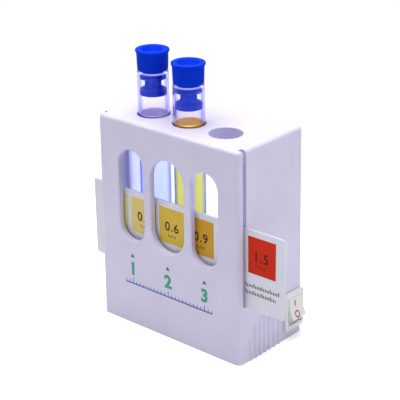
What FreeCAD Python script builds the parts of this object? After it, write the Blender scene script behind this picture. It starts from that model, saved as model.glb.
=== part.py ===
"""Electronic colour comparator: a moulded housing with three tube wells on top,
three windows in the front, a colour card that slides behind the windows, a lit
panel behind the tubes, a rocker switch on the right and three cells at the back.

Millimetres. X runs along the front, Y from front to back, Z up. The origin is
the centre of the underside.
"""
import FreeCAD, Part
import Sketcher
import math
import os
import re

doc = FreeCAD.newDocument("colour_comparator")
sizes = doc.addObject("Spreadsheet::Sheet", "Sizes")
nodes = []

# Driving dimensions
dimensions = {
    # Housing: the moulded shell
    "housing_width": 94.6,
    "housing_depth": 51.5,
    "housing_height": 113,
    "draft_angle": 0.33,
    "corner_radius": 3,
    "rim_radius": 2,
    "front_wall": 3.2,
    "side_wall": 2.5,
    "rear_wall": 2.5,
    "top_wall": 2.5,
    "inside_corner_radius": 1,

    # Tube wells in the top
    "well_radius": 8.5,
    "well_pitch": 23.75,
    "well_setback": 18.45,
    "well_edge_radius": 0.5,
    "sleeve_wall": 1.8,
    "sleeve_length": 11,

    # Windows in the front
    "window_low": 47.75,
    "window_high": 97.5,
    "middle_window_width": 22,
    "outer_window_width": 17,
    "outer_window_offset": 24.5,
    "window_lip_radius": 1,

    # Card and the slots that it slides in
    "card_length": 126,
    "card_height": 42.5,
    "card_thickness": 0.8,
    "card_corner_radius": 1,
    "card_offset": 7.9,
    "card_gap": 0.25,
    "card_front_gap": 1.4,
    "slot_setback": 5.75,
    "slot_bottom": 31.4,
    "slot_inset": 3.9,
    "card_seat_gap": 0.1,

    # Grip ribs low on both sides
    "rib_radius": 1.25,
    "rib_proud": 0.65,
    "rib_pitch": 3.7,
    "rib_field_height": 24,
    "rib_field_half_width": 18.5,

    # Tubes, samples and stoppers
    "tube_radius": 8,
    "tube_wall": 1,
    "tube_floor": 1.4,
    "tube_heel_radius": 2.2,
    "left_tube_length": 101.6,
    "middle_tube_length": 99.2,
    "tube_seat": 34,
    "sample_level": 113.5,
    "sample_gap": 0.05,
    "tube_rim_chamfer": 0.25,
    "stopper_foot_radius": 7.75,
    "stopper_head_radius": 8.05,
    "stopper_head_height": 10.7,
    "stopper_lip_radius": 8.6,
    "stopper_lip_height": 1.1,
    "stopper_edge": 0.3,
    "stopper_recess_radius": 5.85,
    "stopper_recess_depth": 2.6,
    "stopper_dish_radius": 3.5,
    "stopper_shoulder_radius": 5,
    "stopper_shoulder_depth": 1.55,
    "stopper_gap": 0.3,
    "plug_length": 12.5,
    "plug_root_radius": 5,
    "plug_neck_radius": 4.2,
    "plug_neck_depth": 8.7,
    "plug_fin_radius": 6.7,
    "plug_fin_depth": 2.9,
    "plug_fin_height": 1.3,
    "plug_bell_radius": 6.5,
    "plug_bell_depth": 9.7,
    "plug_band_depth": 10.1,
    "plug_seal_gap": 0.1,
    "plug_bore_radius": 3.2,
    "plug_bore_end": 2,

    # Rack that carries the tubes
    "rack_shelf": 2.5,
    "rack_half_width": 43.4,
    "rack_leg_half_width": 36,
    "rack_leg": 2,
    "upright_thickness": 1.6,
    "upright_depth": 8,
    "upright_top": 100,
    "upright_gap": 1.5,
    "rack_front_gap": 0.75,
    "cup_gap": 0.3,
    "cup_wall": 1.2,
    "cup_height": 4,
    "rail_wall": 1,
    "rail_height": 3,

    # Lit panel, light box and lamp board
    "panel_gap": 0.5,
    "panel_thickness": 2,
    "panel_half_width": 42,
    "panel_top": 106,
    "rail_gap": 0.2,
    "box_half_width": 41,
    "box_low": 51.4,
    "box_high": 103.5,
    "box_wall": 1.2,
    "guide_wall": 1.2,
    "guide_half_width": 30,
    "guide_gap": 0.7,
    "board_thickness": 1.6,
    "board_half_width": 38,
    "board_low": 55,
    "board_high": 101,
    "board_boss_height": 4.15,
    "board_screw_x": 34,
    "board_screw_inset": 4,
    "board_boss_radius": 3,
    "lamp_size": 5,
    "lamp_thickness": 1.6,
    "lamp_hole_gap": 0.3,
    "lamp_row_offset": 12,
    "resistor_length": 3.2,
    "resistor_width": 1.6,
    "resistor_thickness": 0.6,

    # Screws
    "board_screw_radius": 1.2,
    "board_screw_length": 7,
    "board_head_radius": 2.3,
    "board_head_height": 1.5,
    "base_screw_radius": 1.45,
    "base_screw_length": 10,
    "base_head_radius": 2.8,
    "base_head_height": 1.6,
    "screw_gap": 0.1,
    "screw_hole_spare": 1.5,
    "boss_radius": 3.5,
    "boss_height": 15.5,
    "boss_inset": 4.3,
    "front_boss_y": -17.5,
    "rear_boss_y": 3.5,
    "boss_web": 2,

    # Base plate
    "base_plate_thickness": 2.5,
    "base_plate_gap": 0.3,

    # Cells, their tray and its door
    "cell_radius": 7.15,
    "cell_length": 50.5,
    "cell_nub_radius": 2.75,
    "cell_nub_height": 1,
    "cell_nub_root": 1,
    "cell_gap": 0.2,
    "cell_pitch": 14.6,
    "tray_left": -38.5,
    "tray_wall": 1.5,
    "tray_front_wall": 1.1,
    "tray_floor": 2.8,
    "tray_roof": 1.2,
    "cell_door_gap": 0.4,
    "tray_door_gap": 0.2,
    "contact_thickness": 0.4,
    "contact_width": 9,
    "contact_tab_width": 3,
    "contact_tab_length": 3.5,
    "contact_tab_gap": 0.2,
    "spring_space": 5.2,
    "spring_width": 5,
    "spring_thickness": 0.3,
    "spring_half_height": 4.4,
    "spring_foot": 1.2,
    "spring_crown_half_height": 1.1,
    "door_thickness": 2.2,
    "door_gap": 0.3,
    "door_sill": 5,
    "door_inset": 0.35,
    "hinge_radius": 1.5,
    "hinge_pin_radius": 0.8,
    "hinge_pin_length": 2,
    "hinge_pin_gap": 0.08,
    "hinge_ear": 3,
    "hinge_ear_margin": 1,
    "opening_side_gap": 0.8,
    "grip_groove_depth": 0.6,
    "grip_groove_height": 1.2,
    "grip_groove_half_width": 10,
    "grip_groove_pitch": 2.6,
    "grip_groove_inset": 4,

    # Rocker switch
    "switch_setback": 8.85,
    "switch_z": 15.35,
    "bezel_width": 15,
    "bezel_height": 21,
    "bezel_proud": 1.95,
    "bezel_corner_radius": 1.4,
    "bezel_edge_radius": 0.7,
    "switch_body_width": 13,
    "switch_body_height": 19.2,
    "switch_body_depth": 13,
    "switch_wing_length": 6,
    "switch_wing_rise": 0.7,
    "switch_wing_width": 5,
    "switch_wing_gap": 0.3,
    "cut_out_gap": 0.1,
    "rocker_opening_width": 11.1,
    "rocker_opening_height": 15.7,
    "rocker_floor_gap": 0.4,
    "rocker_gap": 0.2,
    "rocker_tilt": 15,
    "rocker_pivot_depth": 6.25,
    "rocker_tip_reach": 8.2,
    "rocker_valley_reach": 7.2,
    "rocker_heel_reach": 3,
    "rocker_valley_radius": 6,
    "rocker_edge_radius": 0.5,
    "rocker_pin_radius": 1,
    "rocker_pin_length": 0.7,
    "rocker_pin_gap": 0.06,
    "terminal_width": 4.8,
    "terminal_thickness": 0.8,
    "terminal_length": 7,
    "terminal_pitch": 10.1,

    # Wires inside
    "lead_radius": 0.7,

    # How far a boss or ear is rooted in its wall, and how far a cut overshoots
    "root_depth": 0.5,
    "cut_margin": 1,
}

for row, (alias, amount) in enumerate(dimensions.items(), start=1):
    sizes.set("A%d" % row, alias)
    sizes.set("B%d" % row, str(amount))
    sizes.setAlias("B%d" % row, alias)
doc.recompute()

# Places that several pieces share, as expressions of the sizes above
inside_x = "(housing_width/2 - side_wall)"
inside_front = "(front_wall - housing_depth/2)"
inside_rear = "(housing_depth/2 - rear_wall)"
inside_top = "(housing_height - top_wall)"
well_y = "(well_setback - housing_depth/2)"
sleeve_radius = "(well_radius + sleeve_wall)"
slot_rear = "(slot_setback - housing_depth/2)"
card_rear = f"({slot_rear} - card_gap)"
card_front = f"({card_rear} - card_thickness)"
slot_front = f"({card_front} - card_front_gap)"
panel_front = f"({well_y} + {sleeve_radius} + panel_gap)"
panel_rear = f"({panel_front} + panel_thickness)"
board_rear = f"({inside_rear} - board_boss_height)"
board_front = f"({board_rear} - board_thickness)"
box_depth = f"({board_front} - {panel_rear})"
door_outer = "(housing_depth/2 - door_inset)"
cell_y = f"({door_outer} - door_thickness - cell_door_gap - cell_radius)"
tray_front = f"({cell_y} - cell_radius - cell_gap/2 - tray_front_wall)"
first_cell_z = "(base_plate_thickness + tray_floor + cell_gap + cell_radius)"
tray_inner_left = "(tray_left + tray_wall)"
tray_inner_right = f"({tray_inner_left} + 2*contact_thickness + cell_length + spring_space)"
tray_right = f"({tray_inner_right} + tray_wall)"
tray_inner_top = f"({first_cell_z} + 2*cell_pitch + cell_radius + cell_gap)"
tray_top = f"({tray_inner_top} + tray_roof)"
opening_left = "(tray_left - opening_side_gap)"
opening_right = f"({tray_right} + opening_side_gap)"
opening_top = f"({tray_inner_top} + cell_gap)"
hinge_y = f"({door_outer} - hinge_radius)"
hinge_z = "(door_sill + door_gap + hinge_radius)"
boss_x = "(housing_width/2 - side_wall - boss_inset)"
switch_y = "(housing_depth/2 - switch_setback)"
bezel_face = "(housing_width/2 + bezel_proud)"
switch_inner = "(housing_width/2 - switch_body_depth)"
pivot_x = f"({bezel_face} - rocker_pivot_depth)"

word = re.compile(r"\b[a-z][a-z_]*\b")


def linked(expression):
    """Points each size named in the expression at its cell of the sheet."""
    return word.sub(lambda m: "Sizes." + m.group() if m.group() in dimensions else m.group(), str(expression))


def number(expression):
    return float(sizes.evalExpression(str(expression)))


def bind(item, prop, expression):
    item.setExpression(prop, linked(expression))


def locate(item, x="0", y="0", z="0"):
    for axis, expression in zip("xyz", (x, y, z)):
        bind(item, "Placement.Base." + axis, expression)


# Sketches: closed loops held by coordinates that are bound to the sizes

def pin_point(sketch, geometry, end, point):
    for kind, expression in zip(("DistanceX", "DistanceY"), point):
        index = sketch.addConstraint(Sketcher.Constraint(kind, -1, 1, geometry, end, number(expression)))
        bind(sketch, "Constraints[%d]" % index, expression)


def pin_radius(sketch, geometry, expression):
    index = sketch.addConstraint(Sketcher.Constraint("Radius", geometry, number(expression)))
    bind(sketch, "Constraints[%d]" % index, expression)


def polygon(*points):
    def draw(sketch):
        spots = [FreeCAD.Vector(number(u), number(v), 0) for u, v in points]
        first = sketch.GeometryCount
        count = len(spots)
        for i in range(count):
            sketch.addGeometry(Part.LineSegment(spots[i], spots[(i + 1) % count]), False)
        for i in range(count):
            following = first + (i + 1) % count
            sketch.addConstraint(Sketcher.Constraint("Coincident", first + i, 2, following, 1))
            pin_point(sketch, first + i, 1, points[i])
    return draw


def rectangle(left, right, low, high):
    return polygon((left, low), (right, low), (right, high), (left, high))


def circle(x, y, radius):
    def draw(sketch):
        centre = FreeCAD.Vector(number(x), number(y), 0)
        ring = Part.Circle(centre, FreeCAD.Vector(0, 0, 1), number(radius))
        index = sketch.addGeometry(ring, False)
        pin_point(sketch, index, 3, (x, y))
        pin_radius(sketch, index, radius)
    return draw


def obround(x, low, high, width):
    """An upright slot with full-round ends."""
    def draw(sketch):
        radius = number(width) / 2
        centre_x = number(x)
        top_z = number(high) - radius
        low_z = number(low) + radius
        up = FreeCAD.Vector(0, 0, 1)
        top_circle = Part.Circle(FreeCAD.Vector(centre_x, top_z, 0), up, radius)
        low_circle = Part.Circle(FreeCAD.Vector(centre_x, low_z, 0), up, radius)
        right = [FreeCAD.Vector(centre_x + radius, z, 0) for z in (low_z, top_z)]
        left = [FreeCAD.Vector(centre_x - radius, z, 0) for z in (top_z, low_z)]
        parts = [Part.LineSegment(*right), Part.ArcOfCircle(top_circle, 0, math.pi),
                 Part.LineSegment(*left), Part.ArcOfCircle(low_circle, math.pi, 2 * math.pi)]
        first = sketch.GeometryCount
        for item in parts:
            sketch.addGeometry(item, False)
        for i in range(4):
            sketch.addConstraint(Sketcher.Constraint("Tangent", first + i, 2, first + (i + 1) % 4, 1))
        pin_point(sketch, first + 1, 3, (x, f"{high} - {width}/2"))
        pin_point(sketch, first + 3, 3, (x, f"{low} + {width}/2"))
        pin_radius(sketch, first + 1, f"{width}/2")
        pin_radius(sketch, first + 3, f"{width}/2")
    return draw


def new_body(label):
    body = doc.addObject("PartDesign::Body", label)
    body.Label = label
    return body


def sketch_on(body, plane, away, loops):
    """Attaches a sketch to an origin plane of the body, moved along the plane's normal."""
    base = [item for item in body.Origin.OriginFeatures if item.Role == plane][0]
    sketch = body.newObject("Sketcher::SketchObject", body.Label + "_sketch")
    sketch.AttachmentSupport = [(base, "")]
    sketch.MapMode = "FlatFace"
    bind(sketch, "AttachmentOffset.Base.z", away)
    for loop in loops:
        loop(sketch)
    return sketch


def pad(body, plane, away, loops, length, reverse=False):
    feature = body.newObject("PartDesign::Pad", body.Label + "_pad")
    feature.Profile = sketch_on(body, plane, away, loops)
    bind(feature, "Length", length)
    feature.Reversed = reverse
    doc.recompute()
    return feature


def pocket(body, plane, away, loops, length, reverse=False):
    before = body.Shape.Volume
    feature = body.newObject("PartDesign::Pocket", body.Label + "_pocket")
    feature.Profile = sketch_on(body, plane, away, loops)
    bind(feature, "Length", length)
    feature.Reversed = reverse
    doc.recompute()
    assert feature.Shape.Volume < before - 0.001, feature.Label + " cuts nothing"
    return feature


def revolve(body, points):
    """Turns a half profile, given as radius and height, about the upright axis."""
    sketch = sketch_on(body, "XZ_Plane", "0", [polygon(*points)])
    feature = body.newObject("PartDesign::Revolution", body.Label + "_turned")
    feature.Profile = sketch
    feature.ReferenceAxis = (sketch, ["V_Axis"])
    feature.Angle = 360
    doc.recompute()
    return feature


def soften(body, radius, chosen):
    """Rounds the edges of the body's latest feature that the test picks."""
    base = body.Tip
    picked = ["Edge%d" % (i + 1) for i, edge in enumerate(base.Shape.Edges) if chosen(edge)]
    assert picked, body.Label + " has no such edge"
    feature = body.newObject("PartDesign::Fillet", body.Label + "_round")
    feature.Base = (base, picked)
    bind(feature, "Radius", radius)
    doc.recompute()
    return feature


def near(a, b, slack=0.01):
    return abs(a - b) < slack


def at_height(height, slack=0.01):
    return lambda edge: near(edge.BoundBox.ZMin, height, slack) and near(edge.BoundBox.ZMax, height, slack)


def upright(shortest):
    def test(edge):
        box = edge.BoundBox
        return box.ZLength > shortest and box.XLength < 1 and box.YLength < 1
    return test


def ring_at(height, radius):
    def test(edge):
        box = edge.BoundBox
        return near(box.ZMin, height) and near(box.ZMax, height) and near(box.XLength, 2 * radius, 0.02)
    return test


def keep(item, label):
    item.Label = label
    nodes.append(item)
    return item


def box(label, left, right, front, rear, low, high):
    block = doc.addObject("Part::Box", label)
    bind(block, "Length", f"({right}) - ({left})")
    bind(block, "Width", f"({rear}) - ({front})")
    bind(block, "Height", f"({high}) - ({low})")
    locate(block, left, front, low)
    return block


def cylinder(label, radius, length, x, y, z, axis=None, angle=0):
    rod = doc.addObject("Part::Cylinder", label)
    bind(rod, "Radius", radius)
    bind(rod, "Height", length)
    if axis:
        rod.Placement.Rotation = FreeCAD.Rotation(FreeCAD.Vector(*axis), angle)
    locate(rod, x, y, z)
    return rod


def group(label, items):
    """Keeps separate solids together in one node."""
    doc.recompute()
    bundle = doc.addObject("Part::Compound", label)
    bundle.Links = items
    doc.recompute()
    return keep(bundle, label)


def fused(label, items):
    joined = doc.addObject("Part::MultiFuse", label)
    joined.Shapes = items
    doc.recompute()
    return joined


# Where the wells stand, left to right
well_xs = ["-well_pitch", "0", "well_pitch"]


# Housing: one moulded shell, drafted, open underneath
housing = new_body("housing")
block = pad(housing, "XY_Plane", "0",
            [rectangle("-housing_width/2", "housing_width/2", "-housing_depth/2", "housing_depth/2")],
            "housing_height")
bind(block, "TaperAngle", "-draft_angle")
doc.recompute()
soften(housing, "corner_radius", upright(number("housing_height/2")))
soften(housing, "rim_radius", at_height(number("housing_height")))

# Ribs with domed tops, which follow half an ellipse
def dome(body, radius, x, y, z):
    ball = body.newObject("PartDesign::AdditiveSphere", "dome")
    bind(ball, "Radius", radius)
    base = [item for item in body.Origin.OriginFeatures if item.Role == "XY_Plane"][0]
    ball.AttachmentSupport = [(base, "")]
    ball.MapMode = "FlatFace"
    ball.Refine = False
    for axis, expression in zip("xyz", (x, y, z)):
        bind(ball, "AttachmentOffset.Base." + axis, expression)
    doc.recompute()


rib_x = "(housing_width/2 + rib_proud - rib_radius)"
ribs_each_way = 5
for step in range(ribs_each_way):
    out = f"(rib_pitch*{step + 0.5})"
    rib_top = f"(rib_field_height*sqrt(1 - ({out}/rib_field_half_width)^2))"
    ribs = [(f"-{rib_x}", f"-{out}"), (f"-{rib_x}", out), (rib_x, f"-{out}")]
    if number(f"{out} + rib_radius") < number(f"{switch_y} - bezel_width/2"):
        ribs.append((rib_x, out))
    pad(housing, "XY_Plane", "0", [circle(x, y, "rib_radius") for x, y in ribs], rib_top)
    for x, y in ribs:
        dome(housing, "rib_radius", x, y, rib_top)

# The hollow inside, open underneath
cavity = pocket(housing, "XY_Plane", "0",
                [rectangle(f"-{inside_x}", inside_x, inside_front, inside_rear)], inside_top, reverse=True)
bind(cavity, "TaperAngle", "-draft_angle")
doc.recompute()
soften(housing, "inside_corner_radius",
       lambda edge: upright(number("housing_height/2"))(edge)
       and near(edge.BoundBox.ZMax, number(inside_top), 0.1)
       and abs(edge.CenterOfMass.x) < number(inside_x) + 0.1
       and abs(edge.CenterOfMass.y) < number("housing_depth/2 - rear_wall") + 0.1)

# Sleeves that guide the tubes, and the wells through them
pad(housing, "XY_Plane", "housing_height - sleeve_length",
    [circle(x, well_y, sleeve_radius) for x in well_xs], "sleeve_length - top_wall/2")
pocket(housing, "XY_Plane", "housing_height + cut_margin",
       [circle(x, well_y, "well_radius") for x in well_xs], "sleeve_length + 2*cut_margin")
soften(housing, "well_edge_radius", ring_at(number("housing_height"), number("well_radius")))

# Guide bar behind the top of the lit panel
pad(housing, "XY_Plane", "box_high + guide_gap",
    [rectangle("-guide_half_width", "guide_half_width", f"{panel_rear} + rail_gap",
               f"{panel_rear} + rail_gap + guide_wall")],
    "housing_height - top_wall/2 - box_high - guide_gap")

# Bosses for the base screws, each on a web from the side wall
for side in ("-1", "1"):
    for boss_y in ("front_boss_y", "rear_boss_y"):
        edges = sorted([f"{side}*{boss_x}", f"{side}*({inside_x} + side_wall/2)"], key=number)
        pad(housing, "XY_Plane", "base_plate_thickness",
            [rectangle(edges[0], edges[1], f"{boss_y} - boss_web/2", f"{boss_y} + boss_web/2")],
            "boss_height")
        pad(housing, "XY_Plane", "base_plate_thickness",
            [circle(f"{side}*{boss_x}", boss_y, "boss_radius")], "boss_height")
pocket(housing, "XY_Plane", "base_plate_thickness - cut_margin",
       [circle(f"{side}*{boss_x}", boss_y, "base_screw_radius + screw_gap")
        for side in ("-1", "1") for boss_y in ("front_boss_y", "rear_boss_y")],
       "base_screw_length - base_plate_thickness + cut_margin + screw_hole_spare", reverse=True)

# Bosses for the lamp board, on the rear wall
board_screws_at = [(x, z) for x in ("-board_screw_x", "board_screw_x")
                   for z in ("(board_low + board_screw_inset)", "(board_high - board_screw_inset)")]
for x, z in board_screws_at:
    pad(housing, "XZ_Plane", f"-{board_rear}", [circle(x, z, "board_boss_radius")],
        f"{inside_rear} + root_depth - {board_rear}", reverse=True)
pocket(housing, "XZ_Plane", f"cut_margin - {board_rear}",
       [circle(x, z, "board_screw_radius + screw_gap") for x, z in board_screws_at],
       "board_screw_length - board_thickness - box_wall + screw_hole_spare")

# Windows with a soft lip
windows = [("-outer_window_offset", "outer_window_width"), ("0", "middle_window_width"),
           ("outer_window_offset", "outer_window_width")]
pocket(housing, "XZ_Plane", "housing_depth/2 + cut_margin",
       [obround(x, "window_low", "window_high", width) for x, width in windows], "front_wall + 3*cut_margin")


def on_window_face(edge):
    bounds = edge.BoundBox
    z = edge.CenterOfMass.z
    face_y = number("-housing_depth/2") + z * math.tan(math.radians(number("draft_angle")))
    return (near(edge.CenterOfMass.y, face_y, 0.03) and bounds.ZMin > number("window_low") - 0.5
            and bounds.ZMax < number("window_high") + 0.5)


soften(housing, "window_lip_radius", on_window_face)

# Slots for the card, open at the top
for side in ("-1", "1"):
    edges = sorted([f"{side}*(housing_width/2 - slot_inset)", f"{side}*(housing_width/2 + cut_margin)"],
                   key=number)
    pocket(housing, "XY_Plane", "housing_height + cut_margin",
           [rectangle(edges[0], edges[1], slot_front, slot_rear)],
           "housing_height + cut_margin - slot_bottom")

# Cut-out for the switch, with a shallow relief for its body in the rear wall
pocket(housing, "YZ_Plane", "housing_width/2 + cut_margin",
       [rectangle(f"{switch_y} - switch_body_width/2 - cut_out_gap",
                  f"{switch_y} + switch_body_width/2 + cut_out_gap",
                  "switch_z - switch_body_height/2 - cut_out_gap",
                  "switch_z + switch_body_height/2 + cut_out_gap")],
       "switch_body_depth + cut_out_gap + cut_margin")

# Opening for the cells, with an ear and a pin hole at each end of its sill
for left in (f"{opening_left} - hinge_ear", opening_right):
    pad(housing, "YZ_Plane", left,
        [rectangle(f"{hinge_y} - hinge_radius - hinge_ear_margin", f"{inside_rear} + root_depth",
                   f"{hinge_z} - hinge_radius - hinge_ear_margin",
                   f"{hinge_z} + hinge_radius + 2*hinge_ear_margin")], "hinge_ear")
pocket(housing, "XZ_Plane", "-housing_depth/2 - cut_margin",
       [rectangle(opening_left, opening_right, "door_sill", opening_top)],
       f"housing_depth/2 + 2*cut_margin - {inside_rear}", reverse=True)
pocket(housing, "YZ_Plane", f"{opening_left} - hinge_pin_length - hinge_pin_gap",
       [circle(hinge_y, hinge_z, "hinge_pin_radius + hinge_pin_gap")],
       f"{opening_right} - {opening_left} + 2*hinge_pin_length + 2*hinge_pin_gap", reverse=True)
keep(housing, "housing")


# Base plate: closes the underside, flush with the rim
base_plate = new_body("base_plate")
pad(base_plate, "XY_Plane", "0",
    [rectangle(f"base_plate_gap - {inside_x}", f"{inside_x} - base_plate_gap",
               f"{inside_front} + base_plate_gap", f"{inside_rear} - base_plate_gap")],
    "base_plate_thickness")
soften(base_plate, "inside_corner_radius", upright(number("base_plate_thickness/2")))
pocket(base_plate, "XY_Plane", "base_plate_thickness + cut_margin",
       [circle(f"{side}*{boss_x}", boss_y, "base_screw_radius + screw_gap")
        for side in ("-1", "1") for boss_y in ("front_boss_y", "rear_boss_y")],
       "base_plate_thickness + 2*cut_margin")
for side in ("-1", "1"):
    for boss_y in ("front_boss_y", "rear_boss_y"):
        sink = base_plate.newObject("PartDesign::SubtractiveCone", "sink")
        bind(sink, "Radius1", "base_head_radius + screw_gap")
        bind(sink, "Radius2", "base_screw_radius + screw_gap")
        bind(sink, "Height", "base_head_height")
        plane = [item for item in base_plate.Origin.OriginFeatures if item.Role == "XY_Plane"][0]
        sink.AttachmentSupport = [(plane, "")]
        sink.MapMode = "FlatFace"
        bind(sink, "AttachmentOffset.Base.x", f"{side}*{boss_x}")
        bind(sink, "AttachmentOffset.Base.y", boss_y)
        doc.recompute()
keep(base_plate, "base_plate")

# Base screws: countersunk, driven up into the bosses
screws = []
for side in ("-1", "1"):
    for boss_y in ("front_boss_y", "rear_boss_y"):
        head = doc.addObject("Part::Cone", "base_screw_head")
        bind(head, "Radius1", "base_head_radius")
        bind(head, "Radius2", "base_screw_radius")
        bind(head, "Height", "base_head_height")
        locate(head, f"{side}*{boss_x}", boss_y, "0")
        shank = cylinder("base_screw_shank", "base_screw_radius", "base_screw_length", f"{side}*{boss_x}",
                         boss_y, "0")
        screws.append(fused("base_screw", [head, shank]))
group("base_screws", screws)


# Tube rack: a shelf on two legs, with a cup under each well, a rail each side of the
# lit panel's foot, and an upright at each end that closes the tubes' space
rack = new_body("tube_rack")
rack_front = f"({slot_rear} + rack_front_gap)"
rack_rear = f"({panel_rear} + rail_gap + rail_wall)"
pad(rack, "XY_Plane", "tube_seat - rack_shelf",
    [rectangle("-rack_half_width", "rack_half_width", rack_front, rack_rear)], "rack_shelf")
for left, right in (("-rack_leg_half_width", "rack_leg - rack_leg_half_width"),
                    ("rack_leg_half_width - rack_leg", "rack_leg_half_width")):
    pad(rack, "XY_Plane", "base_plate_thickness", [rectangle(left, right, rack_front, rack_rear)],
        "tube_seat - rack_shelf - base_plate_thickness")
cup_radius = "(tube_radius + cup_gap)"
for x in well_xs:
    pad(rack, "XY_Plane", "tube_seat",
        [circle(x, well_y, f"{cup_radius} + cup_wall"), circle(x, well_y, cup_radius)], "cup_height")
for front in (f"{panel_front} - rail_gap - rail_wall", f"{panel_rear} + rail_gap"):
    pad(rack, "XY_Plane", "tube_seat",
        [rectangle("-rack_leg_half_width", "rack_leg_half_width", front, f"{front} + rail_wall")],
        "rail_height")
upright_rear = f"({panel_front} - upright_gap)"
for left, right in (("-rack_half_width", "upright_thickness - rack_half_width"),
                    ("rack_half_width - upright_thickness", "rack_half_width")):
    pad(rack, "XY_Plane", "tube_seat",
        [rectangle(left, right, f"{upright_rear} - upright_depth", upright_rear)],
        "upright_top - tube_seat")
keep(rack, "tube_rack")


# Tubes, samples and stoppers in the left and middle wells
def glass_tube(label, length, x):
    tube = new_body(label)
    bore = "(tube_radius - tube_wall)"
    revolve(tube, [("0", "0"), ("tube_radius", "0"), ("tube_radius", f"{length} - tube_rim_chamfer"),
                   ("tube_radius - tube_rim_chamfer", length), (f"{bore} + tube_rim_chamfer", length),
                   (bore, f"{length} - tube_rim_chamfer"), (bore, "tube_floor"), ("0", "tube_floor")])
    soften(tube, "tube_heel_radius", ring_at(0, number("tube_radius")))
    soften(tube, "tube_heel_radius - tube_wall", ring_at(number("tube_floor"), number(bore)))
    locate(tube, x, well_y, "tube_seat")
    keep(tube, label)


def sample(label, x):
    liquid = new_body(label)
    outer = "(tube_radius - tube_wall - sample_gap)"
    level = "(sample_level - tube_seat)"
    floor = "(tube_floor + sample_gap)"
    revolve(liquid, [("0", floor), (outer, floor), (outer, level), ("0", level)])
    soften(liquid, "tube_heel_radius - tube_wall", ring_at(number(floor), number(outer)))
    locate(liquid, x, well_y, "tube_seat")
    keep(liquid, label)


def stopper(label, length, x):
    """A moulded head with a lip and a dished top, and a plug with a fin, a neck and a bell-shaped seal."""
    body = new_body(label)
    seal = "(tube_radius - tube_wall - plug_seal_gap)"
    lip_low = "(stopper_head_height - stopper_lip_height)"
    dish = "(stopper_head_height - stopper_recess_depth)"
    revolve(body, [
        ("plug_bore_radius", "-plug_length"), (seal, "-plug_length"), (seal, "-plug_band_depth"),
        ("plug_bell_radius", "-plug_bell_depth"), ("plug_neck_radius", "-plug_neck_depth"),
        ("plug_neck_radius", "-plug_fin_depth - plug_fin_height"),
        ("plug_fin_radius", "-plug_fin_depth - plug_fin_height"), ("plug_fin_radius", "-plug_fin_depth"),
        ("plug_root_radius", "-plug_fin_depth"), ("plug_root_radius", "0"),
        ("stopper_foot_radius - stopper_edge", "0"), ("stopper_foot_radius", "stopper_edge"),
        ("stopper_head_radius", lip_low), ("stopper_lip_radius", f"{lip_low} + stopper_edge"),
        ("stopper_lip_radius", "stopper_head_height - stopper_edge"),
        ("stopper_lip_radius - stopper_edge", "stopper_head_height"),
        ("stopper_recess_radius + stopper_edge", "stopper_head_height"),
        ("stopper_recess_radius", "stopper_head_height - stopper_edge"),
        ("stopper_shoulder_radius", "stopper_head_height - stopper_shoulder_depth"),
        ("stopper_dish_radius", dish), ("0", dish), ("0", "-plug_bore_end"),
        ("plug_bore_radius", "-plug_bore_end")])
    locate(body, x, well_y, f"tube_seat + {length} + stopper_gap")
    keep(body, label)


for side, length, x in (("left", "left_tube_length", "-well_pitch"), ("middle", "middle_tube_length", "0")):
    glass_tube("glass_tube_" + side, length, x)
    sample("sample_" + side, x)
    stopper("stopper_" + side, length, x)


# Colour card: a thin stiff strip in the two slots
card = new_body("color_card")
pad(card, "XZ_Plane", f"-{card_rear}",
    [rectangle("card_offset - card_length/2", "card_offset + card_length/2", "slot_bottom + card_seat_gap",
               "slot_bottom + card_seat_gap + card_height")], "card_thickness")
soften(card, "card_corner_radius",
       lambda edge: near(edge.Length, number("card_thickness"), 0.001) and edge.BoundBox.YLength > 0.1)
keep(card, "color_card")


# Lit panel: milky sheet behind the tubes
panel = box("diffuser_panel", "-panel_half_width", "panel_half_width", panel_front, panel_rear, "tube_seat",
            "panel_top")
keep(panel, "diffuser_panel")

# Lamps: two rows of three, one column behind each well
lamps_at = [(x, z) for x in well_xs
            for z in ("((board_low + board_high)/2 - lamp_row_offset)",
                      "((board_low + board_high)/2 + lamp_row_offset)")]


def lamp_hole(x, z, margin):
    half = f"(lamp_size/2 + {margin})"
    return rectangle(f"{x} - {half}", f"{x} + {half}", f"{z} - {half}", f"{z} + {half}")


# Light box: a white tray, open to the panel, with a hole for each lamp
light_box = new_body("reflector_tray")
pad(light_box, "XZ_Plane", f"-{board_front}",
    [rectangle("-box_half_width", "box_half_width", "box_low", "box_high")], box_depth)
pocket(light_box, "XZ_Plane", f"-{panel_rear}",
       [rectangle("box_wall - box_half_width", "box_half_width - box_wall", "box_low + box_wall",
                  "box_high - box_wall")], f"{box_depth} - box_wall")
pocket(light_box, "XZ_Plane", f"-{panel_rear}",
       [lamp_hole(x, z, "lamp_hole_gap") for x, z in lamps_at]
       + [circle(x, z, "board_screw_radius + screw_gap") for x, z in board_screws_at],
       f"{box_depth} + cut_margin")
keep(light_box, "reflector_tray")

# Lamp board and what is soldered to it
board = new_body("led_board")
pad(board, "XZ_Plane", f"-{board_rear}",
    [rectangle("-board_half_width", "board_half_width", "board_low", "board_high")], "board_thickness")
soften(board, "board_thickness", lambda edge: near(edge.Length, number("board_thickness"), 0.001))
pocket(board, "XZ_Plane", f"cut_margin - {board_front}",
       [circle(x, z, "board_screw_radius + screw_gap") for x, z in board_screws_at],
       "board_thickness + 2*cut_margin")
keep(board, "led_board")

lamps = []
for x, z in lamps_at:
    lamps.append(box("led", f"{x} - lamp_size/2", f"{x} + lamp_size/2", f"{board_front} - lamp_thickness",
                     board_front, f"{z} - lamp_size/2", f"{z} + lamp_size/2"))
group("leds", lamps)

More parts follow.
